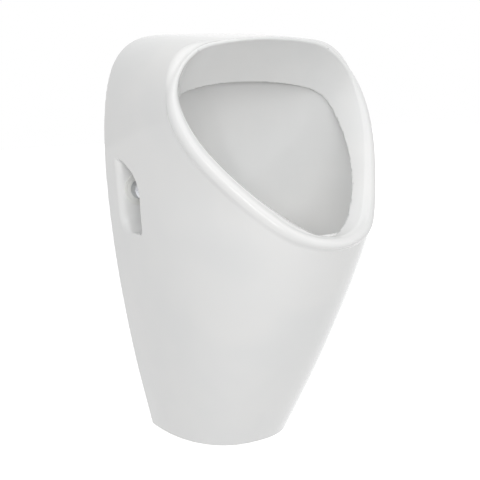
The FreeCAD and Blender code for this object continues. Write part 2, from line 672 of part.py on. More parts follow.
# ================================================================ water inlet at the back
def inlet_parts():
    """Tail from the wall, its nut and gaskets, and the spreader that it feeds inside the bowl."""
    height = HEIGHT - INLET_DROP
    bore = INLET_R + GAP
    face = BOWL_BACK + INLET_PAD_PROUD
    back = BOWL_BACK - BOWL_WALL - INLET_PAD_PROUD
    flange = face + INLET_GASKET_T
    body = flange + SPREADER_FLANGE_T
    end = flange + SPREADER_LENGTH
    chamber = SPREADER_R - SPREADER_WALL
    spreader = turned_level([(bore, flange), (SPREADER_FLANGE_R, flange), (SPREADER_FLANGE_R, body - 1.0),
                             (SPREADER_FLANGE_R - 1.0, body), (SPREADER_R, body), (SPREADER_R, end - 6.0),
                             (SPREADER_R - 6.0, end), (0.0, end), (0.0, end - SPREADER_WALL),
                             (chamber - 4.0, end - SPREADER_WALL), (chamber, end - SPREADER_WALL - 4.0),
                             (chamber, body + 4.0), (bore, body + 2.0)], 0.0, height)
    jet_out = (body + end) / 2
    for i in range(SPREADER_JETS):
        angle = math.radians(-165 + 150 * i / (SPREADER_JETS - 1))
        way = Vector(math.cos(angle), 0, math.sin(angle))
        spreader = spreader.cut(Part.makeCylinder(SPREADER_JET_R, SPREADER_R + 2.0,
                                                  at(0, jet_out, height), way))
    tail = level(INLET_R, -INLET_INTO_WALL, body + 4.0, 0.0, height)
    tail = tail.fuse(hexagon(INLET_COLLAR_ACROSS, INLET_COLLAR[1] - INLET_COLLAR[0],
                             at(0, INLET_COLLAR[0], height), Vector(0, -1, 0)))
    tail = tail.cut(level(INLET_BORE_R, -INLET_INTO_WALL - 1.0, body + 5.0, 0.0, height))
    nut_far = back - INLET_GASKET_T
    nut = hexagon(INLET_NUT_ACROSS, INLET_NUT_T, at(0, nut_far - INLET_NUT_T, height), Vector(0, -1, 0))
    return {
        "spreader_head": spreader,
        "inlet_tail": tail,
        "inlet_front_gasket": ring_level(INLET_GASKET_R, bore, face, flange, 0.0, height),
        "inlet_back_gasket": ring_level(INLET_GASKET_R, bore, nut_far, back, 0.0, height),
        "inlet_backnut": nut.cut(level(bore, nut_far - INLET_NUT_T - 1.0, nut_far + 1.0, 0.0, height)),
    }


# ================================================================ fixings at the sides
def fixing_cap(across):
    """A thin chrome cap with a round end, pushed over the bush's ring."""
    seat = RECESS_FLOOR + BUSH_T + GAP
    outside = level(CAP_R, seat, seat + CAP_LENGTH, across, FIXING_HEIGHT)
    inside = level(CAP_R - CAP_WALL, seat - 1.0, seat + CAP_LENGTH - CAP_WALL, across, FIXING_HEIGHT)

    def rounded(cylinder, radius):
        end = min((edge for edge in cylinder.Edges if edge.Closed),
                  key=lambda edge: edge.CenterOfMass.y)
        return cylinder.makeFillet(radius, [end])

    return rounded(outside, CAP_ROUND).cut(rounded(inside, CAP_ROUND - CAP_WALL))


def fixing_parts():
    """Both sets: wall plug, hanger stud, plastic bush, washer, nut and cap."""
    seat = RECESS_FLOOR + BUSH_T
    sets = {"wall_plugs": [], "hanger_bolts": [], "flange_bushes": [], "fixing_washers": [],
            "fixing_nuts": []}
    bore = STUD_R + GAP
    for x in (-fixing_across(), fixing_across()):
        h = FIXING_HEIGHT
        plug = level(PLUG_R, -PLUG_LENGTH, 0.0, x, h)
        plug = plug.cut(level(SCREW_R + GAP, PLUG_TIP - PLUG_LENGTH, 1.0, x, h))
        slit_length = PLUG_LENGTH - PLUG_SOLID - PLUG_TIP
        for wide, high in ((PLUG_SLIT, 3 * PLUG_R), (3 * PLUG_R, PLUG_SLIT)):
            corner = at(x - wide / 2, -PLUG_SOLID, h - high / 2)
            plug = plug.cut(Part.makeBox(wide, slit_length, high, corner))
        sets["wall_plugs"].append(plug)
        tip = -STUD_INTO_WALL
        sets["hanger_bolts"].append(turned_level(
            [(0.0, tip), (SCREW_R, tip + SCREW_POINT), (SCREW_R, 2.0), (STUD_R, 4.0),
             (STUD_R, STUD_STAND - 1.0), (STUD_R - 1.0, STUD_STAND), (0.0, STUD_STAND)], x, h))
        spigot = CAP_R - CAP_WALL - GAP
        sets["flange_bushes"].append(turned_level(
            [(bore, RECESS_FLOOR - BUSH_SLEEVE), (HOLE_R - GAP, RECESS_FLOOR - BUSH_SLEEVE),
             (HOLE_R - GAP, RECESS_FLOOR), (BUSH_R, RECESS_FLOOR), (BUSH_R, seat - 1.0), (BUSH_R - 1.0, seat),
             (spigot, seat), (spigot, seat + CAP_SPIGOT_T), (spigot - CAP_SPIGOT_WALL, seat + CAP_SPIGOT_T),
             (spigot - CAP_SPIGOT_WALL, seat), (bore, seat)], x, h))
        sets["fixing_washers"].append(ring_level(WASHER_R, bore, seat, seat + WASHER_T, x, h))
        nut = hexagon(NUT_ACROSS, NUT_T, at(x, seat + WASHER_T, h), Vector(0, -1, 0))
        sets["fixing_nuts"].append(nut.cut(level(bore, seat, seat + WASHER_T + NUT_T + 1.0, x, h)))
    parts = {name: Part.makeCompound(solids) for name, solids in sets.items()}
    parts["left_cap"] = fixing_cap(-fixing_across())
    parts["right_cap"] = fixing_cap(fixing_across())
    return parts


def main():
    os.makedirs("parts", exist_ok=True)
    parts = {"ceramic_body": ceramic_body()}
    for group in (waste_parts, trap_parts, inlet_parts, fixing_parts):
        parts.update(group())
    for name, shape in parts.items():
        print(f"{name:22s} {'ok' if shape.isValid() else 'BAD'}  {len(shape.Solids)} solid(s) "
              f"{shape.Volume / 1000:9.2f} cc")
        shape.exportStep(f"parts/{name}.step")


main()
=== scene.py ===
"""Wall hung urinal in white glazed china, with its fixings, back inlet and hidden bottle trap."""

import math

import bmesh
import bpy
import numpy as np
from mathutils import Matrix, Vector


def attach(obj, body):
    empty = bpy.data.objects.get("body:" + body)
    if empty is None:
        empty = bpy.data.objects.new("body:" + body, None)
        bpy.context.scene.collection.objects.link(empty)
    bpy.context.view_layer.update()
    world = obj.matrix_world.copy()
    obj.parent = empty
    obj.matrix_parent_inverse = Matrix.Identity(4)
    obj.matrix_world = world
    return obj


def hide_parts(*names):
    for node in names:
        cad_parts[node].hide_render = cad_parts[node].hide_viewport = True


bl_info = {
    "name": "Wall Hung Urinal",
    "version": (1, 0, 0),
    "blender": (4, 5, 0),
    "location": "View3D > Sidebar > Urinal",
    "description": "Builds the china, fixings, inlet, waste and trap of a wall hung urinal",
    "category": "Object",
}

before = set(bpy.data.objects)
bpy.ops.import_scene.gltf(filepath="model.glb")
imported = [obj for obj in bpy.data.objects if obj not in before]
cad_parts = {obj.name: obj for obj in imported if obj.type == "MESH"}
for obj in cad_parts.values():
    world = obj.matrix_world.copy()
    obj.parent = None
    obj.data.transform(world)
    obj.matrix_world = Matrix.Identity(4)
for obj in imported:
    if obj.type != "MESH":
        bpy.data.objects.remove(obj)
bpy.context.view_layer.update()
FIXING_HEIGHT = 408.0
SHARP = 32.0


# ================================================================ form of the china, in millimetres
# height, half width at the wall, reach of the plan curve, fullness of the plan curve
STATIONS = [
    (0.0, 109.4, 157.3, 2.39), (128.0, 138.8, 235.6, 2.29), (256.0, 161.6, 308.6, 2.18),
    (352.0, 173.7, 360.0, 2.06), (420.0, 179.1, 394.0, 1.90), (470.0, 180.8, 428.0, 2.01),
    (530.0, 178.2, 498.0, 2.25), (585.0, 171.9, 540.0, 2.30), (640.0, 162.2, 560.0, 2.30)]
HEIGHT, CROWN_START, CROWN_FULLNESS = 640.0, 451.0, 5.3
CREST_LOW, CREST_TILT, CREST_LENGTH = (365.7, 372.6), math.radians(34.84), 318.6
CREST_ARCS = [(84.8, 54.7), (757.0, 10.2), (209.0, 24.0), (76.3, 85.9)]
MOUTH_SET_BACK, MOUTH_SPAN, MOUTH_SAG = 18.2, 150.0, 16.9
LIP_LOW, LIP_TILT = (341.0, 370.0), math.radians(48.7)
LIP_ARCS = [(38.8, 44.6), (353.0, 42.8), (38.2, 73.7)]
# height, half width, front, centre
BOWL_ROWS = [
    (206.0, 40.0, 140.0, 100.0), (214.0, 58.0, 167.0, 108.0), (240.0, 84.0, 208.0, 120.0),
    (280.0, 106.0, 256.0, 140.0), (320.0, 120.0, 296.0, 165.0), (360.0, 130.0, 328.0, 190.0),
    (420.0, 137.0, 352.0, 197.0), (480.0, 144.0, 360.0, 200.0), (540.0, 150.0, 360.0, 200.0),
    (580.0, 150.0, 340.0, 198.0), (612.0, 140.0, 300.0, 190.0)]
BOWL_BACK, BOWL_FULLNESS, BOWL_TOP = 56.0, 1.9, 612.0
SKIN, WALL, FLANGE, FLANGE_DEPTH = 13.0, 11.0, 26.0, 16.0
DRAIN_OUT, DRAIN_HEIGHT, DRAIN_FLOOR, SEAT_R, DRAIN_HOLE_R = 100.0, 206.0, 14.0, 40.0, 25.9
INLET_HEIGHT, INLET_HOLE_R, INLET_PAD_R, INLET_PAD_PROUD = 590.0, 15.0, 22.0, 2.0
FIXING_ACROSS, FIXING_HOLE_R, BOSS_R = 143.02, 9.0, 22.0
RECESS_FLOOR, RECESS_FRONT, RECESS_LOW, RECESS_HIGH = 42.0, 98.0, 346.0, 451.0
RECESS_ARCH, RECESS_CORNER, RECESS_INNER = 46.0, 10.0, 114.02


def smooth_rows(rows, heights):
    """The rows' columns at many heights, on smooth curves through them."""
    table = np.array(rows, float)
    x = table[:, 0]
    slope = np.empty_like(table[:, 1:])
    slope[1:-1] = (table[2:, 1:] - table[:-2, 1:]) / (x[2:] - x[:-2])[:, None]
    slope[0] = (table[1, 1:] - table[0, 1:]) / (x[1] - x[0])
    slope[-1] = (table[-1, 1:] - table[-2, 1:]) / (x[-1] - x[-2])
    i = np.clip(np.searchsorted(x, heights, side="right") - 1, 0, len(x) - 2)
    step = (x[i + 1] - x[i])[:, None]
    t = np.clip((heights - x[i])[:, None] / step, 0, 1)
    a, b = table[i, 1:], table[i + 1, 1:]
    curve = (a * (1 + 2 * t) * (1 - t) ** 2 + b * t * t * (3 - 2 * t)
             + step * t * (1 - t) * (slope[i] * (1 - t) - slope[i + 1] * t))
    below = heights < x[0]
    curve[below] = a[below] + slope[0] * (heights[below] - x[0])[:, None]
    return curve


GRID = np.arange(-30.0, 680.0, 0.5)
SKIN_TABLE = smooth_rows(STATIONS, GRID)
BOWL_TABLE = smooth_rows(BOWL_ROWS, GRID)
BOWL_TABLE[GRID < DRAIN_HEIGHT] = BOWL_TABLE[np.searchsorted(GRID, DRAIN_HEIGHT)]


def look_up(table, heights):
    return [np.interp(heights, GRID, table[:, k]) for k in range(table.shape[1])]


def corner(a, b, radius):
    """Where both are inside, with the edge between them rounded."""
    return (np.minimum(np.maximum(a, b), -radius)
            + np.hypot(np.maximum(a + radius, 0), np.maximum(b + radius, 0)))


def without(a, b, radius):
    """a with b taken away, and the edge rounded."""
    return corner(a, -b, radius)


def joined(a, b, radius):
    """Either, with a hollow fillet between them."""
    return -corner(-a, -b, radius)


def outline_distance(x, v, arcs):
    """Signed distance to a round triangle of tangent arcs that starts at (0, 0); negative inside."""
    sweeps = [math.radians(sweep) for _, sweep in arcs]
    sweeps.append(math.pi - sum(sweeps))
    radii = [radius for radius, _ in arcs]
    px, turned = 0.0, 0.0
    for radius, sweep in zip(radii, sweeps):
        px += radius * (math.sin(turned + sweep) - math.sin(turned))
        turned += sweep
    radii.append(px / math.sin(sweeps[-1]))
    best = np.full(x.shape, -1e3)
    px, pv, turned = 0.0, 0.0, 0.0
    for radius, sweep in zip(radii, sweeps):
        cx, cv = px - radius * math.sin(turned), pv + radius * math.cos(turned)
        angle = np.arctan2(x - cx, cv - v)
        near = (angle > turned - 0.004) & (angle < turned + sweep + 0.004)
        best = np.where(near, np.maximum(best, np.hypot(x - cx, v - cv) - radius), best)
        turned += sweep
        px, pv = cx + radius * math.sin(turned), cv - radius * math.cos(turned)
    return best


def skin_gauge(x, out, height):
    half, reach, full = look_up(SKIN_TABLE, height)
    crown = np.maximum(height - CROWN_START, 0) / (HEIGHT - CROWN_START)
    across = ((x / half) ** CROWN_FULLNESS + crown ** CROWN_FULLNESS) ** (1 / CROWN_FULLNESS)
    return (across ** full + (np.maximum(out, 0) / reach) ** full) ** (1 / full) - 1


def skin_distance(x, out, height):
    """Distance to the outer skin, from its gauge and the gauge's slope."""
    step = 0.5
    here = skin_gauge(x, out, height)
    slopes = [(skin_gauge(x + a, out + b, height + c) - here) / step
              for a, b, c in ((step, 0, 0), (0, step, 0), (0, 0, step))]
    return here / np.sqrt(sum(s * s for s in slopes) + 1e-8)


def bowl_distance(x, out, height):
    """Distance to the inside of the bowl, whose rows are egg shaped."""
    half, front, centre = look_up(BOWL_TABLE, height)
    depth = np.where(out > centre, front - centre, centre - BOWL_BACK)
    from_centre = np.hypot(x, out - centre) + 1e-6
    gauge = ((x / half) ** BOWL_FULLNESS
             + (np.abs(out - centre) / depth) ** BOWL_FULLNESS) ** (1 / BOWL_FULLNESS)
    side = from_centre * (1 - 1 / np.maximum(gauge, 0.05))
    slope = (np.interp(height + 1, GRID, BOWL_TABLE[:, 0])
             - np.interp(height - 1, GRID, BOWL_TABLE[:, 0])) / 2
    return side / np.sqrt(1 + np.clip(slope, -1, 1) ** 2)


def tilted(low, tilt, out, height):
    """Up the slope of a tilted plane, and in front of it."""
    a, b = out - low[0], height - low[1]
    return math.cos(tilt) * b - math.sin(tilt) * a, math.cos(tilt) * a + math.sin(tilt) * b


def china_parts(x, out, height):
    """Signed distances to the china and to the hollow inside its casting."""
    x = np.abs(x)
    up, front = tilted(CREST_LOW, CREST_TILT, out, height)
    share = up / CREST_LENGTH
    front = front + MOUTH_SET_BACK * (x / MOUTH_SPAN) ** 2 + MOUTH_SAG * 4 * share * (1 - share)
    deep = -front
    crest = outline_distance(x, up, CREST_ARCS)
    lip_up, above_lip = tilted(LIP_LOW, LIP_TILT, out, height)
    lip = outline_distance(x, lip_up, LIP_ARCS)
    skin = skin_distance(x, out, height)
    bowl = bowl_distance(x, out, height)

    # the rolled rim: a round bead on a flare that runs out into the skin
    ease = np.clip((up - 215) / 85, 0, 1)
    ease = ease * ease * (3 - 2 * ease)
    bead_r = 7.0 - 4.6 * ease
    bead = np.hypot(crest - bead_r + 0.3, deep - bead_r) - bead_r
    flare = np.maximum(np.maximum(crest - bead_r * 1.25 + 0.14 * deep, bead_r - deep), deep - 60)
    rim = joined(bead, flare, 4.0)
    body = joined(corner(skin, 5.0 - deep, 5.0), rim, 7.0)

    # the collar, a funnel from the crest to the inner lip
    share = np.clip(np.maximum(deep, 0) / np.maximum(np.maximum(deep, 0) + above_lip, 1e-3), 0, 1)
    share = np.where(above_lip < 0, 1.0, share)
    funnel_wall = crest * (1 - share) + lip * share
    funnel = np.maximum(funnel_wall, -3.0 - above_lip)
    collar_wall = np.maximum(funnel_wall - 10.0, -above_lip)

    # the recess in each side that holds a fixing
    recess = corner(out - RECESS_FRONT, height - RECESS_HIGH, RECESS_ARCH)
    recess = np.maximum(recess, corner(out - RECESS_FRONT, RECESS_LOW - height, RECESS_CORNER))
    recess = np.maximum(recess, corner(RECESS_LOW - height, RECESS_FLOOR - out, 30.0))
    recess = corner(corner(recess, RECESS_FLOOR - out, 4.0), RECESS_INNER - x, 4.0)
    recess_edge = 3.0 + 9.0 * np.clip((70 - out) / 25, 0, 1)

    # spaces inside the casting
    drain = np.hypot(x, out - DRAIN_OUT)
    inlet = np.hypot(x, height - INLET_HEIGHT)
    pad_back = BOWL_BACK - WALL - INLET_PAD_PROUD - out
    pad = np.maximum(inlet - INLET_PAD_R, np.maximum(pad_back, out - BOWL_BACK - INLET_PAD_PROUD))
    fixing = np.hypot(x - FIXING_ACROSS, height - FIXING_HEIGHT)
    cavity = corner(corner(bowl, DRAIN_HEIGHT - height, 14.0), height - BOWL_TOP, 22.0)
    for solid, radius in ((collar_wall, 4.0), (recess - WALL, 6.0), (pad, 1.0)):
        cavity = without(cavity, solid, radius)
    hollow = joined(corner(skin + SKIN, FLANGE_DEPTH - out, 3.0),
                    np.maximum(skin + FLANGE, out - FLANGE_DEPTH - 4), 2.0)
    bowl_outside = np.maximum(corner(bowl - WALL, DRAIN_HEIGHT - DRAIN_FLOOR - height, 10.0),
                              height - BOWL_TOP - WALL)
    for solid, radius in ((bowl_outside, 6.0), (np.maximum(funnel_wall - WALL, -above_lip - 6), 5.0),
                          (recess - WALL, 5.0), (np.maximum(fixing - BOSS_R, out - RECESS_FLOOR), 3.0),
                          (pad, 2.0),
                          (np.maximum(drain - SEAT_R - 3, np.abs(height - 203) - 11), 2.0)):
        hollow = without(hollow, solid, radius)

    for space, radius in ((hollow, 1.5), (joined(funnel, cavity, 1.0), 3.0), (recess, recess_edge),
                          (np.maximum(fixing - FIXING_HOLE_R, out - 60), 0.8),
                          (np.maximum(drain - DRAIN_HOLE_R, height - 240), 1.0),
                          (np.maximum(inlet - INLET_HOLE_R, out - 100), 0.8)):
        body = without(body, space, radius)
    body = corner(corner(body, -height, 2.5), -out, 2.0)
    return body, hollow


def china_field(places):
    return china_parts(places[:, 0], places[:, 1], places[:, 2])[0]


def field_slope(places):
    """The field and its slope at each place."""
    step = 0.25
    here = china_field(places)
    slope = np.empty_like(places)
    for k in range(3):
        moved = places.copy()
        moved[:, k] += step
        slope[:, k] = (china_field(moved) - here) / step
    return here, slope


def settled(places, most, rounds):
    """The places, moved onto the surface by no more than most."""
    start = places.copy()
    for _ in range(rounds):
        here, slope = field_slope(places)
        places = places - slope * (here / np.maximum((slope ** 2).sum(1), 0.2))[:, None]
        shift = places - start
        size = np.linalg.norm(shift, axis=1, keepdims=True)
        places = start + shift * np.minimum(1, most / np.maximum(size, 1e-9))
    return places


def signed_grid(step):
    """The field on one half of the china, worked out finely only near its surface."""
    coarse, reach, far = 4, 1.9, 9.0
    low, high = (-step / 2, -6.0, -6.0), (188.0, 386.0, 654.0)
    counts = [int(math.ceil((b - a) / (step * coarse))) * coarse + 1 for a, b in zip(low, high)]
    axes = [low[k] + step * np.arange(counts[k]) for k in range(3)]
    rough = china_parts(*np.meshgrid(*[a[::coarse] for a in axes], indexing="ij"))[0]
    near = np.abs(rough) < step * coarse * reach
    wanted = near.copy()
    for axis in range(3):
        for shift in (-1, 1):
            wanted |= np.roll(near, shift, axis)

    def spread_out(cells):
        for axis in range(3):
            cells = np.repeat(cells, coarse, axis)
        return cells[:counts[0], :counts[1], :counts[2]]

    values = spread_out(np.where(rough < 0, -far, far)).astype(np.float32)
    where = np.nonzero(spread_out(wanted))
    values[where] = china_parts(*[axes[k][where[k]] for k in range(3)])[0]
    return values, np.array(low)


def half_net(values, low, step):
    """One vertex in each cell that the surface crosses, and one quad round each edge it crosses."""
    size = values.shape
    cells = tuple(k - 1 for k in size)
    total = np.zeros(cells + (3,), np.float32)
    count = np.zeros(cells, np.float32)
    quads = []
    for axis in range(3):
        first, second = [slice(None)] * 3, [slice(None)] * 3
        first[axis], second[axis] = slice(0, -1), slice(1, None)
        a, b = values[tuple(first)], values[tuple(second)]
        cross = np.argwhere((a < 0) != (b < 0))
        u, w = (axis + 1) % 3, (axis + 2) % 3
        keep = ((cross[:, u] > 0) & (cross[:, w] > 0)
                & (cross[:, u] < size[u] - 1) & (cross[:, w] < size[w] - 1))
        cross = cross[keep]
        a, b = a[tuple(cross.T)], b[tuple(cross.T)]
        place = cross.astype(np.float32)
        place[:, axis] += a / (a - b)
        corners = []
        for du, dw in ((-1, -1), (0, -1), (0, 0), (-1, 0)):
            cell = cross.copy()
            cell[:, u] += du
            cell[:, w] += dw
            index = tuple(cell.T)
            np.add.at(total, index, place)
            np.add.at(count, index, 1)
            corners.append(np.ravel_multi_index(index, cells))
        quad = np.stack(corners, 1)
        quad[a >= 0] = quad[a >= 0][:, ::-1]
        quads.append(quad)
    quads = np.concatenate(quads)
    used, faces = np.unique(quads, return_inverse=True)
    places = total.reshape(-1, 3)[used] / count.reshape(-1)[used][:, None]
    middle = np.unravel_index(used, cells)[0] == 0
    return places * step + low, faces.reshape(-1, 4), middle


def china_shell(step):
    """Places and quads of the whole china, the same on both sides."""
    values, low = signed_grid(step)
    places, faces, middle = half_net(values, low, step)
    places = settled(places.astype(float), step * 0.7, 2)
    places[middle, 0] = 0
    other = np.arange(len(places))
    other[~middle] = len(places) + np.arange((~middle).sum())
    mirror = places[~middle] * (-1, 1, 1)
    return np.concatenate([places, mirror]), np.concatenate([faces, other[faces][:, ::-1]])


def to_row(places):
    """(across, out, height) in millimetres to the row's frame in metres."""
    return np.stack([places[:, 0], -places[:, 1], places[:, 2] - FIXING_HEIGHT], 1) / 1000


def from_row(places):
    return np.stack([places[:, 0] * 1000, -places[:, 1] * 1000, places[:, 2] * 1000 + FIXING_HEIGHT], 1)


# ================================================================ node helpers
def put(tree, kind, feeds=None, **settings):
    """A new node, with its settings made and its inputs set or linked."""
    node = tree.nodes.new(kind)
    for key, value in settings.items():
        setattr(node, key, value)
    for key, value in (feeds or {}).items():
        if isinstance(value, bpy.types.NodeSocket):
            tree.links.new(value, node.inputs[key])
        else:
            node.inputs[key].default_value = value
    return node


SOCKETS = {float: "NodeSocketFloat", int: "NodeSocketInt", "vector": "NodeSocketVector",
           "material": "NodeSocketMaterial", "geometry": "NodeSocketGeometry"}


def new_group(name, kind, takes, label, sort):
    """A node group with its inputs and one output, and the sockets of its two end nodes.

    takes gives each input by name, with its default or, where it has none, the sort of its socket.
    """
    tree = bpy.data.node_groups.new(name, kind)
    for key, default in takes.items():
        bare = isinstance(default, str)
        kind_of_socket = SOCKETS[default if bare else type(default)]
        socket = tree.interface.new_socket(key, in_out="INPUT", socket_type=kind_of_socket)
        if not bare:
            socket.default_value = default
    tree.interface.new_socket(label, in_out="OUTPUT", socket_type=SOCKETS[sort])
    return tree, put(tree, "NodeGroupInput").outputs, put(tree, "NodeGroupOutput").inputs


def built_once(*head):
    """For a function that fills a node group: gives the group, filled at its first use."""
    def wrap(fill):
        def group():
            if head[0] not in bpy.data.node_groups:
                fill(*new_group(*head))
            return bpy.data.node_groups[head[0]]
        return group
    return wrap


def maths(tree, operation, *values):
    return put(tree, "ShaderNodeMath", dict(enumerate(values)), operation=operation).outputs[0]


def spaced(feeds):
    """Inputs given by name, with _ for a space."""
    return {key.replace("_", " "): value for key, value in feeds.items()}


# ================================================================ effects that finishes share
@built_once("Unevenness", "ShaderNodeTree", {
    "Vector": "vector", "Patch Size": 0.03, "Detail": 3.0, "From": 0.35, "To": 0.65}, "Value", float)
def unevenness(tree, given, result):
    """Soft patches, as a value from 0 to 1."""
    noise = put(tree, "ShaderNodeTexNoise", {
        "Vector": given["Vector"], "Scale": maths(tree, "DIVIDE", 1.0, given["Patch Size"]),
        "Detail": given["Detail"], "Roughness": 0.55})
    ramp = put(tree, "ShaderNodeMapRange", {
        "Value": noise.outputs["Fac"], "From Min": given["From"], "From Max": given["To"]},
        interpolation_type="SMOOTHSTEP")
    tree.links.new(ramp.outputs["Result"], result["Value"])


@built_once("Relief", "ShaderNodeTree", {
    "Vector": "vector", "Wave Size": 0.05, "Wave Height": 0.0001, "Grain Size": 0.0008,
    "Grain Height": 0.00001}, "Normal", "vector")
def relief(tree, given, result):
    """A bumped normal from a broad waviness and a fine grain."""
    below = {}
    for name, detail in (("Wave", 1.0), ("Grain", 3.0)):
        noise = put(tree, "ShaderNodeTexNoise", {
            "Vector": given["Vector"], "Scale": maths(tree, "DIVIDE", 1.0, given[name + " Size"]),
            "Detail": detail})
        tall = maths(tree, "MULTIPLY", noise.outputs["Fac"], given[name + " Height"])
        bump = put(tree, "ShaderNodeBump", {"Height": tall, "Strength": 1.0, "Distance": 1.0, **below})
        below = {"Normal": bump.outputs["Normal"]}
    tree.links.new(below["Normal"], result["Normal"])


@built_once("Specks", "ShaderNodeTree", {"Vector": "vector", "Spacing": 0.006, "Spot": 0.1}, "Value", float)
def specks(tree, given, result):
    """Small scattered spots, as a value from 0 to 1."""
    cells = put(tree, "ShaderNodeTexVoronoi", {
        "Vector": given["Vector"], "Scale": maths(tree, "DIVIDE", 1.0, given["Spacing"])})
    spot = put(tree, "ShaderNodeMapRange", {
        "Value": cells.outputs["Distance"], "From Min": given["Spot"], "From Max": 0.0},
        interpolation_type="SMOOTHSTEP")
    tree.links.new(spot.outputs["Result"], result["Value"])


def effect(tree, group, place, **feeds):
    feeds = {"Vector": place, **spaced(feeds)}
    return put(tree, "ShaderNodeGroup", feeds, node_tree=group()).outputs[0]


def new_material(name):
    """A material, its tree and the inputs of its shader."""
    material = bpy.data.materials.new(name)
    material.use_nodes = True
    return material, material.node_tree, material.node_tree.nodes["Principled BSDF"].inputs


def mixed(tree, share, a, b):
    """A colour between a and b."""
    node = put(tree, "ShaderNodeMix", {0: share}, data_type="RGBA")
    for socket, value in ((node.inputs[6], a), (node.inputs[7], b)):
        if isinstance(value, bpy.types.NodeSocket):
            tree.links.new(value, socket)
        else:
            socket.default_value = (*value, 1.0)
    return node.outputs[2]


def between(tree, share, low, high):
    """A value between low and high."""
    return put(tree, "ShaderNodeMapRange", {"Value": share, "To Min": low, "To Max": high}).outputs[0]


# ================================================================ finishes
# two tones and the size of their patches, roughness from and to, relief, then what is special
FINISHES = {
    "chrome": dict(tones=((0.56, 0.57, 0.59), (0.50, 0.51, 0.54)), patch=0.03, rough=(0.035, 0.10),
                   wave=(0.02, 0.00002), grain=(0.0004, 0.0000012), metallic=1.0, spots=(0.007, 0.05, 0.35)),
    "nylon": dict(tones=((0.90, 0.90, 0.88), (0.85, 0.85, 0.82)), patch=0.02, rough=(0.38, 0.52),
                  wave=(0.012, 0.00003), grain=(0.0005, 0.000012), spots=(0.01, 0.06, 0.75)),
    "trap_plastic": dict(tones=((0.86, 0.87, 0.87), (0.80, 0.81, 0.80)), patch=0.045, rough=(0.22, 0.40),
                         wave=(0.015, 0.00006), grain=(0.0006, 0.00001), spots=(0.012, 0.06, 0.7)),
    "pipe_plastic": dict(tones=((0.50, 0.52, 0.54), (0.44, 0.46, 0.48)), patch=0.03, rough=(0.26, 0.42),
                         wave=(0.02, 0.00005), grain=(0.0008, 0.00001), spots=(0.009, 0.08, 0.6), drawn=True),
    "plug_plastic": dict(tones=((0.56, 0.57, 0.59), (0.47, 0.48, 0.50)), patch=0.012, rough=(0.42, 0.58),
                         wave=(0.008, 0.00003), grain=(0.0004, 0.000015), spots=(0.005, 0.08, 0.6)),
    "rubber": dict(tones=((0.045, 0.045, 0.047), (0.085, 0.083, 0.08)), patch=0.014, rough=(0.55, 0.8),
                   wave=(0.01, 0.00004), grain=(0.0003, 0.00002), spots=(0.004, 0.12, 2.0)),
    "brass": dict(tones=((0.80, 0.62, 0.33), (0.62, 0.44, 0.22)), patch=0.016, rough=(0.2, 0.42),
                  wave=(0.01, 0.00003), grain=(0.0004, 0.000008), metallic=1.0, spots=(0.005, 0.12, 0.5),
                  drawn=True),
    "steel": dict(tones=((0.66, 0.67, 0.69), (0.50, 0.52, 0.56)), patch=0.005, rough=(0.22, 0.48),
                  wave=(0.006, 0.00003), grain=(0.0003, 0.00001), metallic=1.0, spots=(0.003, 0.1, 0.6)),
}


def finish(slot):
    """The material of one finish, built once."""
    name = slot.replace("_", " ").capitalize()
    if name in bpy.data.materials:
        return bpy.data.materials[name]
    looks = FINISHES[slot]
    material, tree, shader = new_material(name)
    place = put(tree, "ShaderNodeTexCoord").outputs["Object"]
    if looks.get("drawn"):
        place = put(tree, "ShaderNodeMapping", {"Vector": place, "Scale": (1.0, 6.0, 1.0)}).outputs[0]
    patches = effect(tree, unevenness, place, Patch_Size=looks["patch"])
    rubbed = effect(tree, unevenness, place, Patch_Size=looks["patch"] * 0.4, Detail=5.0, From=0.4, To=0.7)
    spacing, spot, tone = looks["spots"]
    marks = effect(tree, specks, place, Spacing=spacing, Spot=spot)
    light, dark = looks["tones"]
    colour = mixed(tree, patches, light, dark)
    colour = mixed(tree, marks, colour, tuple(min(1.0, c * tone) for c in dark))
    tree.links.new(colour, shader["Base Color"])
    tree.links.new(between(tree, rubbed, *looks["rough"]), shader["Roughness"])
    (wave, wave_height), (grain, grain_height) = looks["wave"], looks["grain"]
    normal = effect(tree, relief, place, Wave_Size=wave, Wave_Height=wave_height, Grain_Size=grain,
                    Grain_Height=grain_height)
    tree.links.new(normal, shader["Normal"])
    shader["Metallic"].default_value = looks.get("metallic", 0.0)
    return material


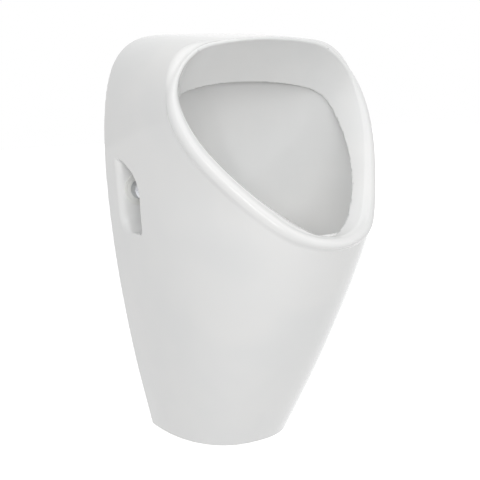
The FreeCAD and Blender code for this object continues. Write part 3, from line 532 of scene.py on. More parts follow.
def glaze(settings):
    """White glaze over the china, and the bare fired clay where the glaze was wiped off."""
    name = "Glazed china"
    if name in bpy.data.materials:
        return bpy.data.materials[name]
    material, tree, shader = new_material(name)
    place = put(tree, "ShaderNodeTexCoord").outputs["Object"]
    bare = put(tree, "ShaderNodeAttribute", attribute_name="bare").outputs["Fac"]
    ragged = effect(tree, unevenness, place, Patch_Size=0.004, Detail=4.0, From=0.3, To=0.7)
    clay = put(tree, "ShaderNodeMapRange", {
        "Value": maths(tree, "MULTIPLY_ADD", ragged, 0.5, bare), "From Min": 0.7, "From Max": 0.85},
        interpolation_type="SMOOTHSTEP").outputs[0]
    pooled = effect(tree, unevenness, place, Patch_Size=0.16, Detail=2.0)
    white = mixed(tree, pooled, tuple(settings.glaze_colour), tuple(settings.glaze_deep_colour))
    pinholes = effect(tree, specks, place, Spacing=0.03, Spot=0.012)
    white = mixed(tree, pinholes, white, (0.62, 0.60, 0.56))
    grit = effect(tree, specks, place, Spacing=0.0025, Spot=0.22)
    earth = mixed(tree, grit, tuple(settings.clay_colour), tuple(c * 0.72 for c in settings.clay_colour))
    tree.links.new(mixed(tree, clay, white, earth), shader["Base Color"])
    sheen = effect(tree, unevenness, place, Patch_Size=0.05, Detail=4.0)
    gloss = between(tree, sheen, 0.055, 0.105)
    rough = put(tree, "ShaderNodeMix", {0: clay, 2: gloss, 3: 0.82}, data_type="FLOAT").outputs[0]
    tree.links.new(rough, shader["Roughness"])
    rise = between(tree, clay, 0.0000015, 0.00006)
    normal = effect(tree, relief, place, Wave_Size=0.055, Wave_Height=settings.waviness,
                    Grain_Size=0.0016, Grain_Height=rise)
    tree.links.new(normal, shader["Normal"])
    return material


# ================================================================ meshes
def new_object(name, mesh):
    obj = bpy.data.objects.new(name, mesh)
    bpy.context.scene.collection.objects.link(obj)
    return obj


def new_mesh(name, places, faces):
    mesh = bpy.data.meshes.new(name)
    mesh.from_pydata([tuple(p) for p in places], [], faces)
    mesh.validate()
    return mesh


def of_vertices(mesh, what):
    """The places or the normals of a mesh's vertices."""
    values = np.empty(len(mesh.vertices) * 3)
    mesh.vertices.foreach_get(what, values)
    return values.reshape(-1, 3)


def evaluated(obj):
    """The object's mesh with its modifiers in it; the modifiers are then removed."""
    graph = bpy.context.evaluated_depsgraph_get()
    mesh = bpy.data.meshes.new_from_object(obj.evaluated_get(graph))
    obj.modifiers.clear()
    obj.data = mesh
    return mesh


def rounded(profile):
    """Corners given as (radius, height, rounding) become short arcs."""
    points = []
    for i, point in enumerate(profile):
        if len(point) == 2:
            points.append(tuple(point))
            continue
        here = np.array(point[:2], float)
        sides = [np.array(profile[j][:2], float) - here for j in (i - 1, (i + 1) % len(profile))]
        lengths = [np.linalg.norm(side) for side in sides]
        a, b = [side / length for side, length in zip(sides, lengths)]
        half = math.acos(np.clip(a @ b, -1, 1)) / 2
        cut = min(point[2] / math.tan(half), 0.49 * min(lengths))
        middle = here + (a + b) / np.linalg.norm(a + b) * cut / math.cos(half)
        start, end = here + a * cut - middle, here + b * cut - middle
        turn = math.pi - 2 * half
        for k in range(5):
            t = k / 4
            way = (math.sin((1 - t) * turn) * start + math.sin(t * turn) * end) / math.sin(turn)
            points.append(tuple(middle + way))
    return points


def turned(name, profile, sides=96):
    """A closed turned solid round Z, in millimetres; profile is a list, or gives one at each angle."""
    rows = [rounded(profile(2 * math.pi * i / sides) if callable(profile) else profile)
            for i in range(sides)]
    count = len(rows[0])
    poles = rows[0][0][0] == 0 and rows[0][-1][0] == 0
    places, index = [], []
    for i, row in enumerate(rows):
        angle = 2 * math.pi * i / sides
        line = []
        for j, (radius, height) in enumerate(row):
            if poles and j in (0, count - 1) and i:
                line.append(index[0][j])
                continue
            line.append(len(places))
            places.append((radius * math.cos(angle), radius * math.sin(angle), height))
        index.append(line)
    faces = []
    for i in range(sides):
        here, there = index[i], index[(i + 1) % sides]
        for j in range(count - 1 if poles else count):
            k = (j + 1) % count
            ring = [here[j], here[k], there[k], there[j]]
            faces.append([v for n, v in enumerate(ring) if v not in ring[:n]])
    mesh = new_mesh(name, places, faces)
    work = bmesh.new()
    work.from_mesh(mesh)
    bmesh.ops.recalc_face_normals(work, faces=work.faces)
    work.to_mesh(mesh)
    work.free()
    return new_object(name, mesh)


def smooth(mesh, sharp=SHARP):
    mesh.shade_smooth()
    mesh.set_sharp_from_angle(angle=math.radians(sharp))


def upright(out):
    """From millimetres round Z, with Z the height, to a vertical axis at a distance from the wall."""
    return Matrix.Translation((0, -out / 1000, -FIXING_HEIGHT / 1000)) @ Matrix.Scale(0.001, 4)


def level(across, height):
    """From millimetres round Z, with Z the distance out, to an axis square to the wall."""
    turn = Matrix(((1, 0, 0, 0), (0, 0, -1, 0), (0, 1, 0, 0), (0, 0, 0, 1)))
    lift = Matrix.Translation((across / 1000, 0, (height - FIXING_HEIGHT) / 1000))
    return lift @ turn @ Matrix.Scale(0.001, 4)


def placed(obj, matrix, slot, body, *nodes, sharp=SHARP):
    """Puts a piece in its place, with its finish, its body and the nodes that it stands for."""
    obj.data.transform(matrix)
    smooth(obj.data, sharp)
    dressed(obj, finish(slot))
    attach(obj, body)
    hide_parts(*nodes)
    return obj


def dressed(obj, material):
    obj.data.materials.clear()
    obj.data.materials.append(material)


def cad_dressed(slot, *nodes):
    """Gives CAD nodes that stay in view their finish."""
    for node in nodes:
        dressed(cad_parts[node], finish(slot))


def united(name, objects):
    """Several turned solids as one mesh."""
    work = bmesh.new()
    for obj in objects:
        work.from_mesh(obj.data)
        bpy.data.objects.remove(obj)
    mesh = bpy.data.meshes.new(name)
    work.to_mesh(mesh)
    work.free()
    return new_object(name, mesh)


def hex_radius(across, angle):
    return across / 2 / math.cos(angle % (math.pi / 3) - math.pi / 6)


def nut_profile(across, bore, low, high):
    """A hexagon nut with both ends chamfered and its bore eased."""
    flat = across * 0.48

    def profile(angle):
        radius = hex_radius(across, angle)
        fall = (radius - flat) * 0.55
        return [(bore, low + 0.6), (bore + 0.6, low), (flat, low), (radius, low + fall),
                (radius, high - fall), (flat, high), (bore + 0.6, high), (bore, high - 0.6)]
    return profile


# ================================================================ shapes that repeat
def ended(tree, geometry, given, result):
    """Turns instances into faces and sets the material."""
    real = put(tree, "GeometryNodeRealizeInstances", {0: geometry})
    done = put(tree, "GeometryNodeSetMaterial", {"Geometry": real.outputs[0], "Material": given["Material"]})
    tree.links.new(done.outputs[0], result["Geometry"])


def raised(tree, geometry, height):
    lift = put(tree, "ShaderNodeCombineXYZ", {"Z": height})
    return put(tree, "GeometryNodeSetPosition", {"Geometry": geometry, "Offset": lift.outputs[0]}).outputs[0]


def both(tree, first, second):
    node = put(tree, "GeometryNodeJoinGeometry", {0: first})
    tree.links.new(second, node.inputs[0])
    return node.outputs[0]


@built_once("Finger ribs", "GeometryNodeTree", {
    "Geometry": "geometry", "Count": 14, "Ring Radius": 32.0, "Rib Radius": 1.8, "Low": 0.0,
    "High": 20.0, "Material": "material"}, "Geometry", "geometry")
def finger_ribs(tree, given, result):
    """Straight grip ribs round a nut or cup."""
    rib = put(tree, "GeometryNodeMeshCylinder", {
        "Vertices": 14, "Radius": given["Rib Radius"],
        "Depth": maths(tree, "SUBTRACT", given["High"], given["Low"])})
    ring = put(tree, "GeometryNodeMeshCircle", {"Vertices": given["Count"], "Radius": given["Ring Radius"]})
    middle = maths(tree, "MULTIPLY", maths(tree, "ADD", given["High"], given["Low"]), 0.5)
    ribs = put(tree, "GeometryNodeInstanceOnPoints", {
        "Points": raised(tree, ring.outputs[0], middle), "Instance": rib.outputs["Mesh"]})
    ended(tree, both(tree, given["Geometry"], ribs.outputs[0]), given, result)


@built_once("Screw thread", "GeometryNodeTree", {
    "Geometry": "geometry", "Root Radius": 4.3, "Ridge": 0.65, "Pitch": 1.5, "Low": 0.0, "High": 20.0,
    "Steps": 32, "Material": "material"}, "Geometry", "geometry")
def screw_thread(tree, given, result):
    """A helical ridge round a shank."""
    length = maths(tree, "SUBTRACT", given["High"], given["Low"])
    path = put(tree, "GeometryNodeCurveSpiral", {
        "Resolution": given["Steps"], "Rotations": maths(tree, "DIVIDE", length, given["Pitch"]),
        "Start Radius": given["Root Radius"], "End Radius": given["Root Radius"], "Height": length})
    level_path = put(tree, "GeometryNodeSetCurveNormal", {"Curve": path.outputs[0]}, mode="Z_UP")
    ridge = put(tree, "GeometryNodeCurvePrimitiveCircle", {"Resolution": 4, "Radius": given["Ridge"]})
    swept = put(tree, "GeometryNodeCurveToMesh", {
        "Curve": level_path.outputs[0], "Profile Curve": ridge.outputs[0], "Fill Caps": True})
    thread = raised(tree, swept.outputs[0], given["Low"])
    ended(tree, both(tree, given["Geometry"], thread), given, result)


@built_once("Drilled ring", "GeometryNodeTree", {
    "Geometry": "geometry", "Count": 6, "Ring Radius": 8.5, "Hole Radius": 2.4, "Depth": 12.0,
    "Height": 0.0, "First Angle": 0.0, "Step Angle": 1.0, "Tilt": 0.0, "Material": "material"},
    "Geometry", "geometry")
def drilled_ring(tree, given, result):
    """Holes drilled at equal steps round a ring; a tilt of a quarter turn drills them from the side."""
    index = put(tree, "GeometryNodeInputIndex").outputs[0]
    angle = maths(tree, "MULTIPLY_ADD", index, given["Step Angle"], given["First Angle"])
    x, y = [maths(tree, "MULTIPLY", maths(tree, way, angle), given["Ring Radius"])
            for way in ("COSINE", "SINE")]
    place = put(tree, "ShaderNodeCombineXYZ", {"X": x, "Y": y, "Z": given["Height"]})
    points = put(tree, "GeometryNodePoints", {"Count": given["Count"], "Position": place.outputs[0]})
    turn = put(tree, "ShaderNodeCombineXYZ", {"Y": given["Tilt"], "Z": angle})
    turn = put(tree, "FunctionNodeEulerToRotation", {0: turn.outputs[0]})
    drill = put(tree, "GeometryNodeMeshCylinder", {
        "Vertices": 28, "Radius": given["Hole Radius"], "Depth": given["Depth"]})
    drills = put(tree, "GeometryNodeInstanceOnPoints", {
        "Points": points.outputs[0], "Instance": drill.outputs["Mesh"], "Rotation": turn.outputs[0]})
    solid = put(tree, "GeometryNodeRealizeInstances", {0: drills.outputs[0]})
    holed = put(tree, "GeometryNodeMeshBoolean", {"Mesh 1": given["Geometry"], "Mesh 2": solid.outputs[0]},
                operation="DIFFERENCE", solver="EXACT")
    ended(tree, holed.outputs[0], given, result)


def with_nodes(obj, group, slot, **values):
    """Runs a node group on the object, with inputs by name, and keeps the plain mesh."""
    tree = group()
    modifier = obj.modifiers.new(tree.name, "NODES")
    modifier.node_group = tree
    values = {**spaced(values), "Material": finish(slot)}
    for item in tree.interface.items_tree:
        if item.item_type == "SOCKET" and item.in_out == "INPUT" and item.name in values:
            modifier[item.identifier] = values[item.name]
    evaluated(obj)
    return obj


def combined(obj, other, operation):
    """Joins another solid to the object, or cuts it out."""
    modifier = obj.modifiers.new("Combined", "BOOLEAN")
    modifier.operation, modifier.object, modifier.solver = operation, other, "EXACT"
    evaluated(obj)
    bpy.data.objects.remove(other)
    return obj


# ================================================================ settings
def length_setting(name, description, default):
    return bpy.props.FloatProperty(name=name, description=description, default=default, unit="LENGTH",
                                   subtype="DISTANCE", precision=5)


def number_setting(name, description, default):
    kind = bpy.props.IntProperty if isinstance(default, int) else bpy.props.FloatProperty
    return kind(name=name, description=description, default=default)


def colour_setting(name, description, default):
    return bpy.props.FloatVectorProperty(name=name, description=description, default=default, size=3,
                                         subtype="COLOR", min=0.0, max=1.0)


class UrinalChinaSettings(bpy.types.PropertyGroup):
    net_step: length_setting("Net step", "Spacing of the surface net over the china", 0.0024)
    most_faces: number_setting("Most faces", "Triangles left in the china", 186000)
    glaze_colour: colour_setting("Glaze", "Colour of the white glaze", (0.925, 0.925, 0.918))
    glaze_deep_colour: colour_setting("Deep glaze", "Colour where the glaze is thick", (0.895, 0.90, 0.897))
    clay_colour: colour_setting("Bare clay", "Colour of the fired clay inside", (0.66, 0.61, 0.53))
    waviness: length_setting("Waviness", "Height of the slight waves in the glaze", 0.00022)


class UrinalFixingSettings(bpy.types.PropertyGroup):
    cap_radius: length_setting("Cap radius", "Outer radius of each chrome cap", 0.0155)
    cap_round: length_setting("Cap rounding", "Radius of the cap's front edge", 0.006)
    cap_crown: length_setting("Cap crown", "How far the cap's face bulges", 0.0008)
    bush_radius: length_setting("Bush radius", "Radius of the bush's flange", 0.025)
    barbs: number_setting("Barbs", "Barbs along each wall plug", 9)


class UrinalInletSettings(bpy.types.PropertyGroup):
    jets: number_setting("Jets", "Holes in the spreader", 7)
    jet_radius: length_setting("Jet radius", "Radius of each hole in the spreader", 0.0025)


class UrinalWasteSettings(bpy.types.PropertyGroup):
    hole_radius: length_setting("Strainer hole", "Radius of the strainer's holes", 0.0024)
    strainer_crown: length_setting("Strainer crown", "How far the strainer bulges", 0.0012)
    ribs: number_setting("Grip ribs", "Ribs round the cup and union nuts", 14)
    rib_radius: length_setting("Rib radius", "Radius of each grip rib", 0.0018)


class UrinalStageSettings(bpy.types.PropertyGroup):
    floor_height: length_setting("Floor", "Height of the floor below the fixings", -0.95)
    floor_colour: colour_setting("Floor colour", "Colour of the floor", (0.82, 0.82, 0.82))
    floor_glow: number_setting("Floor glow", "Brings the floor to white in view", 0.8)
    room_light: number_setting("Room light", "Strength of the even light", 0.48)
    front_light: number_setting("Front light", "Power of the front softbox, in watts", 14.5)
    top_light: number_setting("Top light", "Power of the top softbox, in watts", 5.0)
    right_light: number_setting("Right light", "Power of the right softbox", 0.8)
    strip_light: number_setting("Strip light", "Power of the narrow side light", 7.0)


def settings_of(name):
    return getattr(bpy.context.scene, "urinal_" + name)


# ================================================================ operators, one for each group of pieces
class OBJECT_OT_urinal_china(bpy.types.Operator):
    """Builds the china as one shell"""
    bl_idname = "object.urinal_china"
    bl_label = "Build China"

    def execute(self, context):
        sizes = settings_of("china")
        step = sizes.net_step * 1000
        places, quads = china_shell(step)
        obj = new_object("china", new_mesh("china", to_row(places), quads.tolist()))
        if signed_volume(obj.data) < 0:
            obj.data.flip_normals()
        faces = 2 * len(quads)
        if faces > sizes.most_faces:
            thin = obj.modifiers.new("Thin", "DECIMATE")
            thin.ratio = sizes.most_faces / faces
            thin.use_symmetry, thin.symmetry_axis = True, "X"
            evaluated(obj)
        mesh = obj.data
        places = settled(from_row(of_vertices(mesh, "co")), 0.8, 2)
        mesh.vertices.foreach_set("co", to_row(places).ravel())
        slope = field_slope(places)[1]
        normals = slope * (1, -1, 1) / np.linalg.norm(slope, axis=1, keepdims=True)
        mesh.update()
        own = of_vertices(mesh, "normal")
        agree = (normals * own).sum(1, keepdims=True) > 0.85
        normals = np.where(agree, normals, own)
        hollow = china_parts(*places.T)[1]
        bare = np.maximum.reduce([2.2 - np.abs(hollow), 1.4 - places[:, 1], 1.8 - places[:, 2]])
        bare = np.clip(bare, 0, 1)
        mesh.attributes.new("bare", "FLOAT", "POINT").data.foreach_set("value", bare.astype(np.float32))
        mesh.shade_smooth()
        mesh.normals_split_custom_set_from_vertices([tuple(n) for n in normals])
        mesh.update()
        dressed(obj, glaze(sizes))
        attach(obj, "urinal")
        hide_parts("ceramic_body")
        return {"FINISHED"}


def signed_volume(mesh):
    mesh.calc_loop_triangles()
    corners = np.array([t.vertices for t in mesh.loop_triangles])
    a, b, c = of_vertices(mesh, "co")[corners].transpose(1, 0, 2)
    return (a * np.cross(b, c)).sum() / 6


class OBJECT_OT_urinal_caps(bpy.types.Operator):
    """Builds the two chrome caps over the fixing nuts"""
    bl_idname = "object.urinal_caps"
    bl_label = "Build Caps"

    def execute(self, context):
        sizes = settings_of("fixing")
        r, bend, crown = sizes.cap_radius * 1000, sizes.cap_round * 1000, sizes.cap_crown * 1000
        profile = [(0, 66.1), (r - 1.2, 66.1, bend - 1.2), (r - 1.2, 45.3), (r, 45.3, 0.3),
                   (r, 67.3 - crown, bend), (r * 0.45, 67.3 - crown * 0.2), (0, 67.3)]
        for side, body in ((-1, "left_cap"), (1, "right_cap")):
            cap = turned(body + "_shell", profile, 128)
            placed(cap, level(side * FIXING_ACROSS, FIXING_HEIGHT), "chrome", body, body, sharp=50)
        return {"FINISHED"}


def pair(name, make, slot, node):
    """The same piece at both fixings, as one mesh."""
    pieces = []
    for side in (-1, 1):
        piece = make(f"{name}_{side}")
        piece.data.transform(level(side * FIXING_ACROSS, FIXING_HEIGHT))
        pieces.append(piece)
    return placed(united(name, pieces), Matrix.Identity(4), slot, "urinal", node)


class OBJECT_OT_urinal_fixings(bpy.types.Operator):
    """Builds the bushes, washers, nuts, hanger studs and wall plugs"""
    bl_idname = "object.urinal_fixings"
    bl_label = "Build Fixings"

    def execute(self, context):
        sizes = settings_of("fixing")
        r = sizes.bush_radius * 1000

        def bush(name):
            return turned(name, [(5.3, 12.5), (5.8, 12), (8.7, 12, 0.6), (8.7, 42, 0.4), (r - 1.3, 42),
                                 (r - 1.3, 43.1), (r, 43.1, 0.3), (r, 45, 0.9), (r * 0.84, 45),
                                 (r * 0.83, 44.6), (r * 0.79, 44.6), (r * 0.78, 45), (14, 45),
                                 (14, 50, 0.7), (12, 50, 0.5), (12, 45), (5.3, 45)])

        def washer(name):
            return turned(name, [(5.3, 45), (10.5, 45, 0.3), (10.5, 47, 0.5), (5.3, 47, 0.3)])

        def nut(name):
            return turned(name, nut_profile(17.0, 5.0, 47.0, 55.0), 120)

        def stud(name):
            shank = turned(name, [(0, -62), (2.9, -54), (2.9, -8), (4, -6), (4, 4, 0.3), (5, 4, 0.5),
                                  (5, 8.5), (4.35, 9.5), (4.35, 59.3), (3.7, 60), (0, 60)], 48)
            with_nodes(shank, screw_thread, "steel", Root_Radius=4.35, Ridge=0.65, Pitch=1.5, Low=9.5,
                       High=58.8, Steps=32)
            return with_nodes(shank, screw_thread, "steel", Root_Radius=2.8, Ridge=1.15, Pitch=3.6,
                              Low=-55.0, High=-8.0, Steps=32)

        def plug(name):
            teeth = [(7.0, 0, 0.3), (7.0, -5)]
            pitch = 52.0 / sizes.barbs
            for k in range(sizes.barbs):
                teeth += [(6.1, -6 - pitch * k), (6.95, -6 - pitch * (k + 0.85))]
            body = turned(name, [(0, -64), (4.3, -63), (4.3, -0.6), (4.9, 0)] + teeth
                          + [(6.3, -62), (4.6, -69, 1.0), (3.4, -70), (0, -70)], 72)
            for wide, deep in ((8.0, 0.6), (0.6, 8.0)):
                slot = new_mesh("slit", [(x * wide, y * deep, -18.0 - 46.0 * z)
                                         for x in (-1, 1) for y in (-1, 1) for z in (0, 1)],
                                [(0, 1, 3, 2), (4, 6, 7, 5), (0, 4, 5, 1), (2, 3, 7, 6), (0, 2, 6, 4),
                                 (1, 5, 7, 3)])
                combined(body, new_object("slit", slot), "DIFFERENCE")
            return body

        pair("bushes", bush, "nylon", "flange_bushes")
        pair("washers", washer, "steel", "fixing_washers")
        pair("nuts", nut, "steel", "fixing_nuts")
        pair("studs", stud, "steel", "hanger_bolts")
        pair("plugs", plug, "plug_plastic", "wall_plugs")
        return {"FINISHED"}


class OBJECT_OT_urinal_inlet(bpy.types.Operator):
    """Builds the back inlet with its nuts and the flush spreader"""
    bl_idname = "object.urinal_inlet"
    bl_label = "Build Inlet"

    def execute(self, context):
        sizes = settings_of("inlet")
        spot = level(0, INLET_HEIGHT)
        tail = turned("tail", [(7, -14.4), (7.6, -15), (9.1, -15), (9.75, -14.2), (9.75, 66.8), (9.1, 67.5),
                               (7.6, 67.5), (7, 66.9)], 72)
        for low, high in ((-14.0, 2.5), (13.5, 58.0)):
            with_nodes(tail, screw_thread, "brass", Root_Radius=9.75, Ridge=0.7, Pitch=1.814, Low=low,
                       High=high, Steps=48)
        tail = united("inlet_pipe", [tail, turned("hexagon", nut_profile(27.0, 8.0, 4.0, 12.0), 120)])
        placed(tail, spot, "brass", "urinal", "inlet_tail")
        placed(turned("inlet_lock_nut", nut_profile(30.0, 10.75, 32.5, 40.5), 120), spot, "brass", "urinal",
               "inlet_backnut")
        head = turned("spreader", [(0, 81.5), (11, 81.5), (15, 77.5), (15, 67.5), (10.75, 65.5),
                                   (10.75, 60.5), (21, 60.5, 0.3), (21, 62.5, 0.6), (20, 63.5, 0.6),
                                   (18, 63.5, 0.4), (18, 78.5, 2.0), (12, 84.5, 3.0), (0, 84.5)], 96)
        step = math.radians(150) / (sizes.jets - 1)
        with_nodes(head, drilled_ring, "chrome", Count=sizes.jets, Ring_Radius=18.0,
                   Hole_Radius=sizes.jet_radius * 1000, Depth=12.0, Height=74.0,
                   First_Angle=math.radians(-165), Step_Angle=step, Tilt=math.pi / 2)
        placed(head, spot, "chrome", "urinal", "spreader_head", sharp=40)
        cad_dressed("rubber", "inlet_front_gasket", "inlet_back_gasket")
        return {"FINISHED"}


class OBJECT_OT_urinal_waste(bpy.types.Operator):
    """Builds the strainer, the waste and its lock nut"""
    bl_idname = "object.urinal_waste"
    bl_label = "Build Waste"

    def execute(self, context):
        sizes = settings_of("waste")
        spot, crown = upright(DRAIN_OUT), sizes.strainer_crown * 1000
        disc = turned("strainer_disc", [
            (0, 210.5), (19.4, 210.5), (19.4, 204.5), (21, 204.5, 0.3), (21, 210.5), (27, 210.5, 0.3),
            (27, 212.5, 0.8), (23, 212.5), (16, 212.5 + crown * 0.6), (8, 212.5 + crown * 0.92),
            (0, 212.5 + crown)], 96)
        for count, ring in ((1, 0.0), (6, 8.5), (12, 16.5)):
            with_nodes(disc, drilled_ring, "chrome", Count=count, Ring_Radius=ring, Height=211.0,
                       Hole_Radius=sizes.hole_radius * 1000, Step_Angle=2 * math.pi / count)
        placed(disc, spot, "chrome", "strainer", "waste_grate", sharp=40)
        tail = turned("waste_pipe", [
            (21.3, 145.5), (21.8, 145), (23.0, 145), (23.2, 145.6), (23.2, 207), (23.9, 208.5), (35, 208.5),
            (35, 210, 0.8), (32, 212.5, 1.5), (27.3, 212.5, 0.4), (27.3, 210.5), (21.3, 210.5, 0.4)])
        with_nodes(tail, screw_thread, "brass", Root_Radius=23.15, Ridge=0.75, Pitch=2.309, Low=146.5,
                   High=204.0, Steps=72)
        placed(tail, spot, "brass", "urinal", "waste_body")

        def lock_nut(angle):
            side = hex_radius(60.0, angle)
            fall = (side - 29) * 0.5
            return [(24.2, 180.3), (25, 179.5), (29, 179.5), (side, 179.5 + fall), (side, 187), (35, 187),
                    (35, 189.5), (24.8, 189.5), (24.2, 188.9)]
        placed(turned("waste_lock_nut", lock_nut, 144), spot, "brass", "urinal", "waste_backnut")
        cad_dressed("rubber", "waste_top_gasket", "waste_bottom_gasket")
        return {"FINISHED"}


class OBJECT_OT_urinal_trap(bpy.types.Operator):
    """Builds the bottle trap, its cup and union nuts, and the outlet pipe"""
    bl_idname = "object.urinal_trap"
    bl_label = "Build Trap"

    def execute(self, context):
        sizes = settings_of("waste")
        spot, out = upright(DRAIN_OUT), level(0, 108.0)
        ribs = dict(Count=sizes.ribs, Rib_Radius=sizes.rib_radius * 1000)
        towards_wall = Matrix.Translation((0, 0, 108)) @ Matrix.Rotation(-math.pi / 2, 4, "X")

        def branch(radius, low, high):
            rod = turned("branch", [(0, low), (radius, low), (radius, high, 0.5), (0, high)], 72)
            rod.data.transform(towards_wall)
            return rod

        bottle = turned("bottle", [(0, 20), (37.4, 20, 0.5), (37.4, 44), (38, 45.5), (38, 129, 5),
                                   (27.5, 138, 3), (27.5, 160, 0.5), (0, 160)])
        combined(bottle, branch(28.6, 10.0, 54.0), "UNION")
        inside = turned("inside", [(0, 18), (35, 18), (35, 126, 4), (24.2, 135), (19.8, 135), (19.8, 141),
                                   (24.2, 141), (24.2, 162), (0, 162)])
        combined(bottle, inside, "DIFFERENCE")
        for bore in ((25.3, 37.0, 56.0), (23.2, 8.0, 40.0)):
            combined(bottle, branch(*bore), "DIFFERENCE")
        with_nodes(bottle, screw_thread, "trap_plastic", Root_Radius=37.3, Ridge=0.85, Pitch=4.5,
                   Low=22.0, High=42.0, Steps=72)
        placed(bottle, spot, "trap_plastic", "urinal", "trap_body")
        cup = turned("bottle_cup", [
            (0, 12.8), (12, 12.8), (12.8, 12), (38.3, 12, 1.0), (41.3, 15, 1.5), (41.3, 46, 0.8), (38.3, 46),
            (38.3, 17), (34, 17), (34, 15), (0, 15)])
        with_nodes(cup, finger_ribs, "trap_plastic", Ring_Radius=40.7, Low=16.0, High=42.0, **ribs)
        placed(cup, spot, "trap_plastic", "cup", "trap_cup")
        nut = turned("inlet_union_nut", [(27.8, 148.5), (28.3, 148), (32.2, 148, 0.8), (32.2, 168, 1.4),
                                         (24.2, 168, 0.6), (24.2, 165), (27.8, 165)])
        with_nodes(nut, finger_ribs, "trap_plastic", Ring_Radius=32.2, Low=149.0, High=166.0, **ribs)
        placed(nut, spot, "trap_plastic", "urinal", "trap_inlet_nut")
        nut = turned("outlet_union_nut", [(28.9, 57.5), (28.9, 41), (25.3, 41), (25.3, 38, 0.6),
                                          (33.2, 38, 1.4), (33.2, 58, 0.8), (29.4, 58)])
        with_nodes(nut, finger_ribs, "trap_plastic", Ring_Radius=33.2, Low=40.0, High=57.0, **ribs)
        placed(nut, out, "trap_plastic", "urinal", "trap_outlet_nut")
        pipe = turned("pipe", [(23.2, -80, 0.4), (25, -80, 0.8), (25, 62, 0.8), (23.2, 62, 0.4)])
        placed(pipe, out, "pipe_plastic", "urinal", "outlet_pipe")
        lips = [(25.3, -6), (25.3, -36)]
        for k in range(4):
            lips += [(28.0, -35.8 + 7.4 * k), (30.0, -33.0 + 7.4 * k), (28.6, -31.6 + 7.4 * k)]
        seal = turned("wall_seal", lips + [(29.0, -6.6), (28.4, -6)])
        placed(seal, out, "rubber", "urinal", "outlet_wall_seal")
        cad_dressed("rubber", "trap_inlet_seal", "trap_outlet_seal", "trap_cup_seal")
        cad_dressed("trap_plastic", "trap_dip_tube")
        return {"FINISHED"}


# ================================================================ stage
def facing(position, target, up):
    """A camera's or lamp's place and turn, looking from position to target."""
    z = (Vector(position) - Vector(target)).normalized()
    x = Vector(up).cross(z).normalized()
    turn = Matrix((x, z.cross(x), z)).transposed().to_4x4()
    return Matrix.Translation(position) @ turn


def seen(tree):
    """1 for what the camera, a reflection or a glass sees, else 0."""
    rays = put(tree, "ShaderNodeLightPath").outputs
    first = maths(tree, "MAXIMUM", rays["Is Camera Ray"], rays["Is Glossy Ray"])
    return maths(tree, "MAXIMUM", first, rays["Is Transmission Ray"])


def softbox(name, watts, size, position, target):
    lamp = bpy.data.lights.new(name, "AREA")
    lamp.energy, lamp.shape, lamp.size, lamp.size_y = watts, "RECTANGLE", *size
    obj = bpy.data.objects.new(name, lamp)
    obj.matrix_world = facing(position, target, (0.01, 0.02, 1))
    bpy.context.scene.collection.objects.link(obj)
    return obj


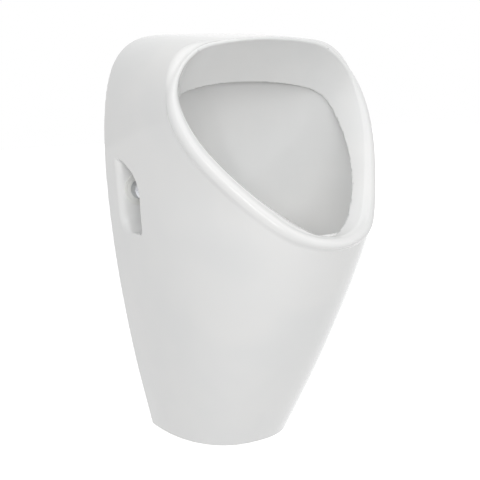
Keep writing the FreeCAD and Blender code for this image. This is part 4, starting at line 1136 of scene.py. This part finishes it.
class OBJECT_OT_urinal_stage(bpy.types.Operator):
    """Builds the floor, the light and the camera"""
    bl_idname = "object.urinal_stage"
    bl_label = "Build Stage"

    def execute(self, context):
        sizes = settings_of("stage")
        z = sizes.floor_height
        floor = new_object("floor", new_mesh("floor", [(-8, -8, z), (8, -8, z), (8, 8, z), (-8, 8, z)],
                                             [(0, 1, 2, 3)]))
        material, tree, shader = new_material("Pale floor")
        shader["Base Color"].default_value = (*sizes.floor_colour, 1)
        shader["Roughness"].default_value = 0.9
        shader["Emission Color"].default_value = (1, 1, 1, 1)
        glow = maths(tree, "MULTIPLY", seen(tree), sizes.floor_glow)
        tree.links.new(glow, shader["Emission Strength"])
        floor.data.materials.append(material)

        scene = context.scene
        world = bpy.data.worlds.new("Studio")
        world.use_nodes = True
        tree = world.node_tree
        strength = put(tree, "ShaderNodeMapRange", {"Value": seen(tree), "To Min": sizes.room_light,
                                                    "To Max": 1.0})
        background = tree.nodes["Background"]
        background.inputs["Color"].default_value = (1, 1, 1, 1)
        tree.links.new(strength.outputs[0], background.inputs["Strength"])
        scene.world = world
        scene.view_settings.view_transform = "Standard"

        for name, size, place, target in (
                ("front_light", (1.4, 0.4), (-1.1, -2.6, 0.42), (0, -0.2, -0.05)),
                ("top_light", (1.6, 1.2), (0.15, -0.6, 1.5), (0, -0.15, 0.0)),
                ("right_light", (0.7, 1.0), (1.6, -1.7, 0.9), (0, -0.2, 0.0)),
                ("strip_light", (0.16, 1.8), (-1.2, -1.45, 1.15), (0, -0.2, 0.0))):
            lamp = softbox(name, getattr(sizes, name), size, place, target)
            lamp.visible_glossy = name != "front_light"

        camera = bpy.data.cameras.new("camera")
        camera.lens, camera.sensor_width = 75.0, 36.0
        camera.shift_x, camera.shift_y = -0.0315, 0.0133
        eye = bpy.data.objects.new("camera", camera)
        eye.matrix_world = facing((-0.8063, -1.4234, 0.2477), (0, -0.150, -0.088), (0.116, 0.184, 0.976))
        scene.collection.objects.link(eye)
        scene.camera = eye
        return {"FINISHED"}


class VIEW3D_PT_urinal(bpy.types.Panel):
    """Lists the settings and the pieces in the sidebar"""
    bl_idname = "VIEW3D_PT_urinal"
    bl_label = "Wall Hung Urinal"
    bl_space_type = "VIEW_3D"
    bl_region_type = "UI"
    bl_category = "Urinal"

    def draw(self, context):
        for group, operators in GROUPS.items():
            box = self.layout.box()
            sizes = settings_of(group)
            for key in sizes.__annotations__:
                box.prop(sizes, key)
            for operator in operators:
                box.operator(operator.bl_idname)


GROUPS = {"china": (OBJECT_OT_urinal_china,), "fixing": (OBJECT_OT_urinal_caps, OBJECT_OT_urinal_fixings),
          "inlet": (OBJECT_OT_urinal_inlet,), "waste": (OBJECT_OT_urinal_waste, OBJECT_OT_urinal_trap),
          "stage": (OBJECT_OT_urinal_stage,)}
SETTINGS = {"china": UrinalChinaSettings, "fixing": UrinalFixingSettings, "inlet": UrinalInletSettings,
            "waste": UrinalWasteSettings, "stage": UrinalStageSettings}
CLASSES = [*SETTINGS.values(), *[one for group in GROUPS.values() for one in group], VIEW3D_PT_urinal]


def register():
    for one in CLASSES:
        bpy.utils.register_class(one)
    for name, group in SETTINGS.items():
        setattr(bpy.types.Scene, "urinal_" + name, bpy.props.PointerProperty(type=group))


def unregister():
    for name in SETTINGS:
        delattr(bpy.types.Scene, "urinal_" + name)
    for one in reversed(CLASSES):
        bpy.utils.unregister_class(one)


def main():
    register()
    bpy.ops.object.urinal_china()
    bpy.ops.object.urinal_caps()
    bpy.ops.object.urinal_fixings()
    bpy.ops.object.urinal_inlet()
    bpy.ops.object.urinal_waste()
    bpy.ops.object.urinal_trap()
    bpy.ops.object.urinal_stage()


if __name__ == "__main__":
    main()
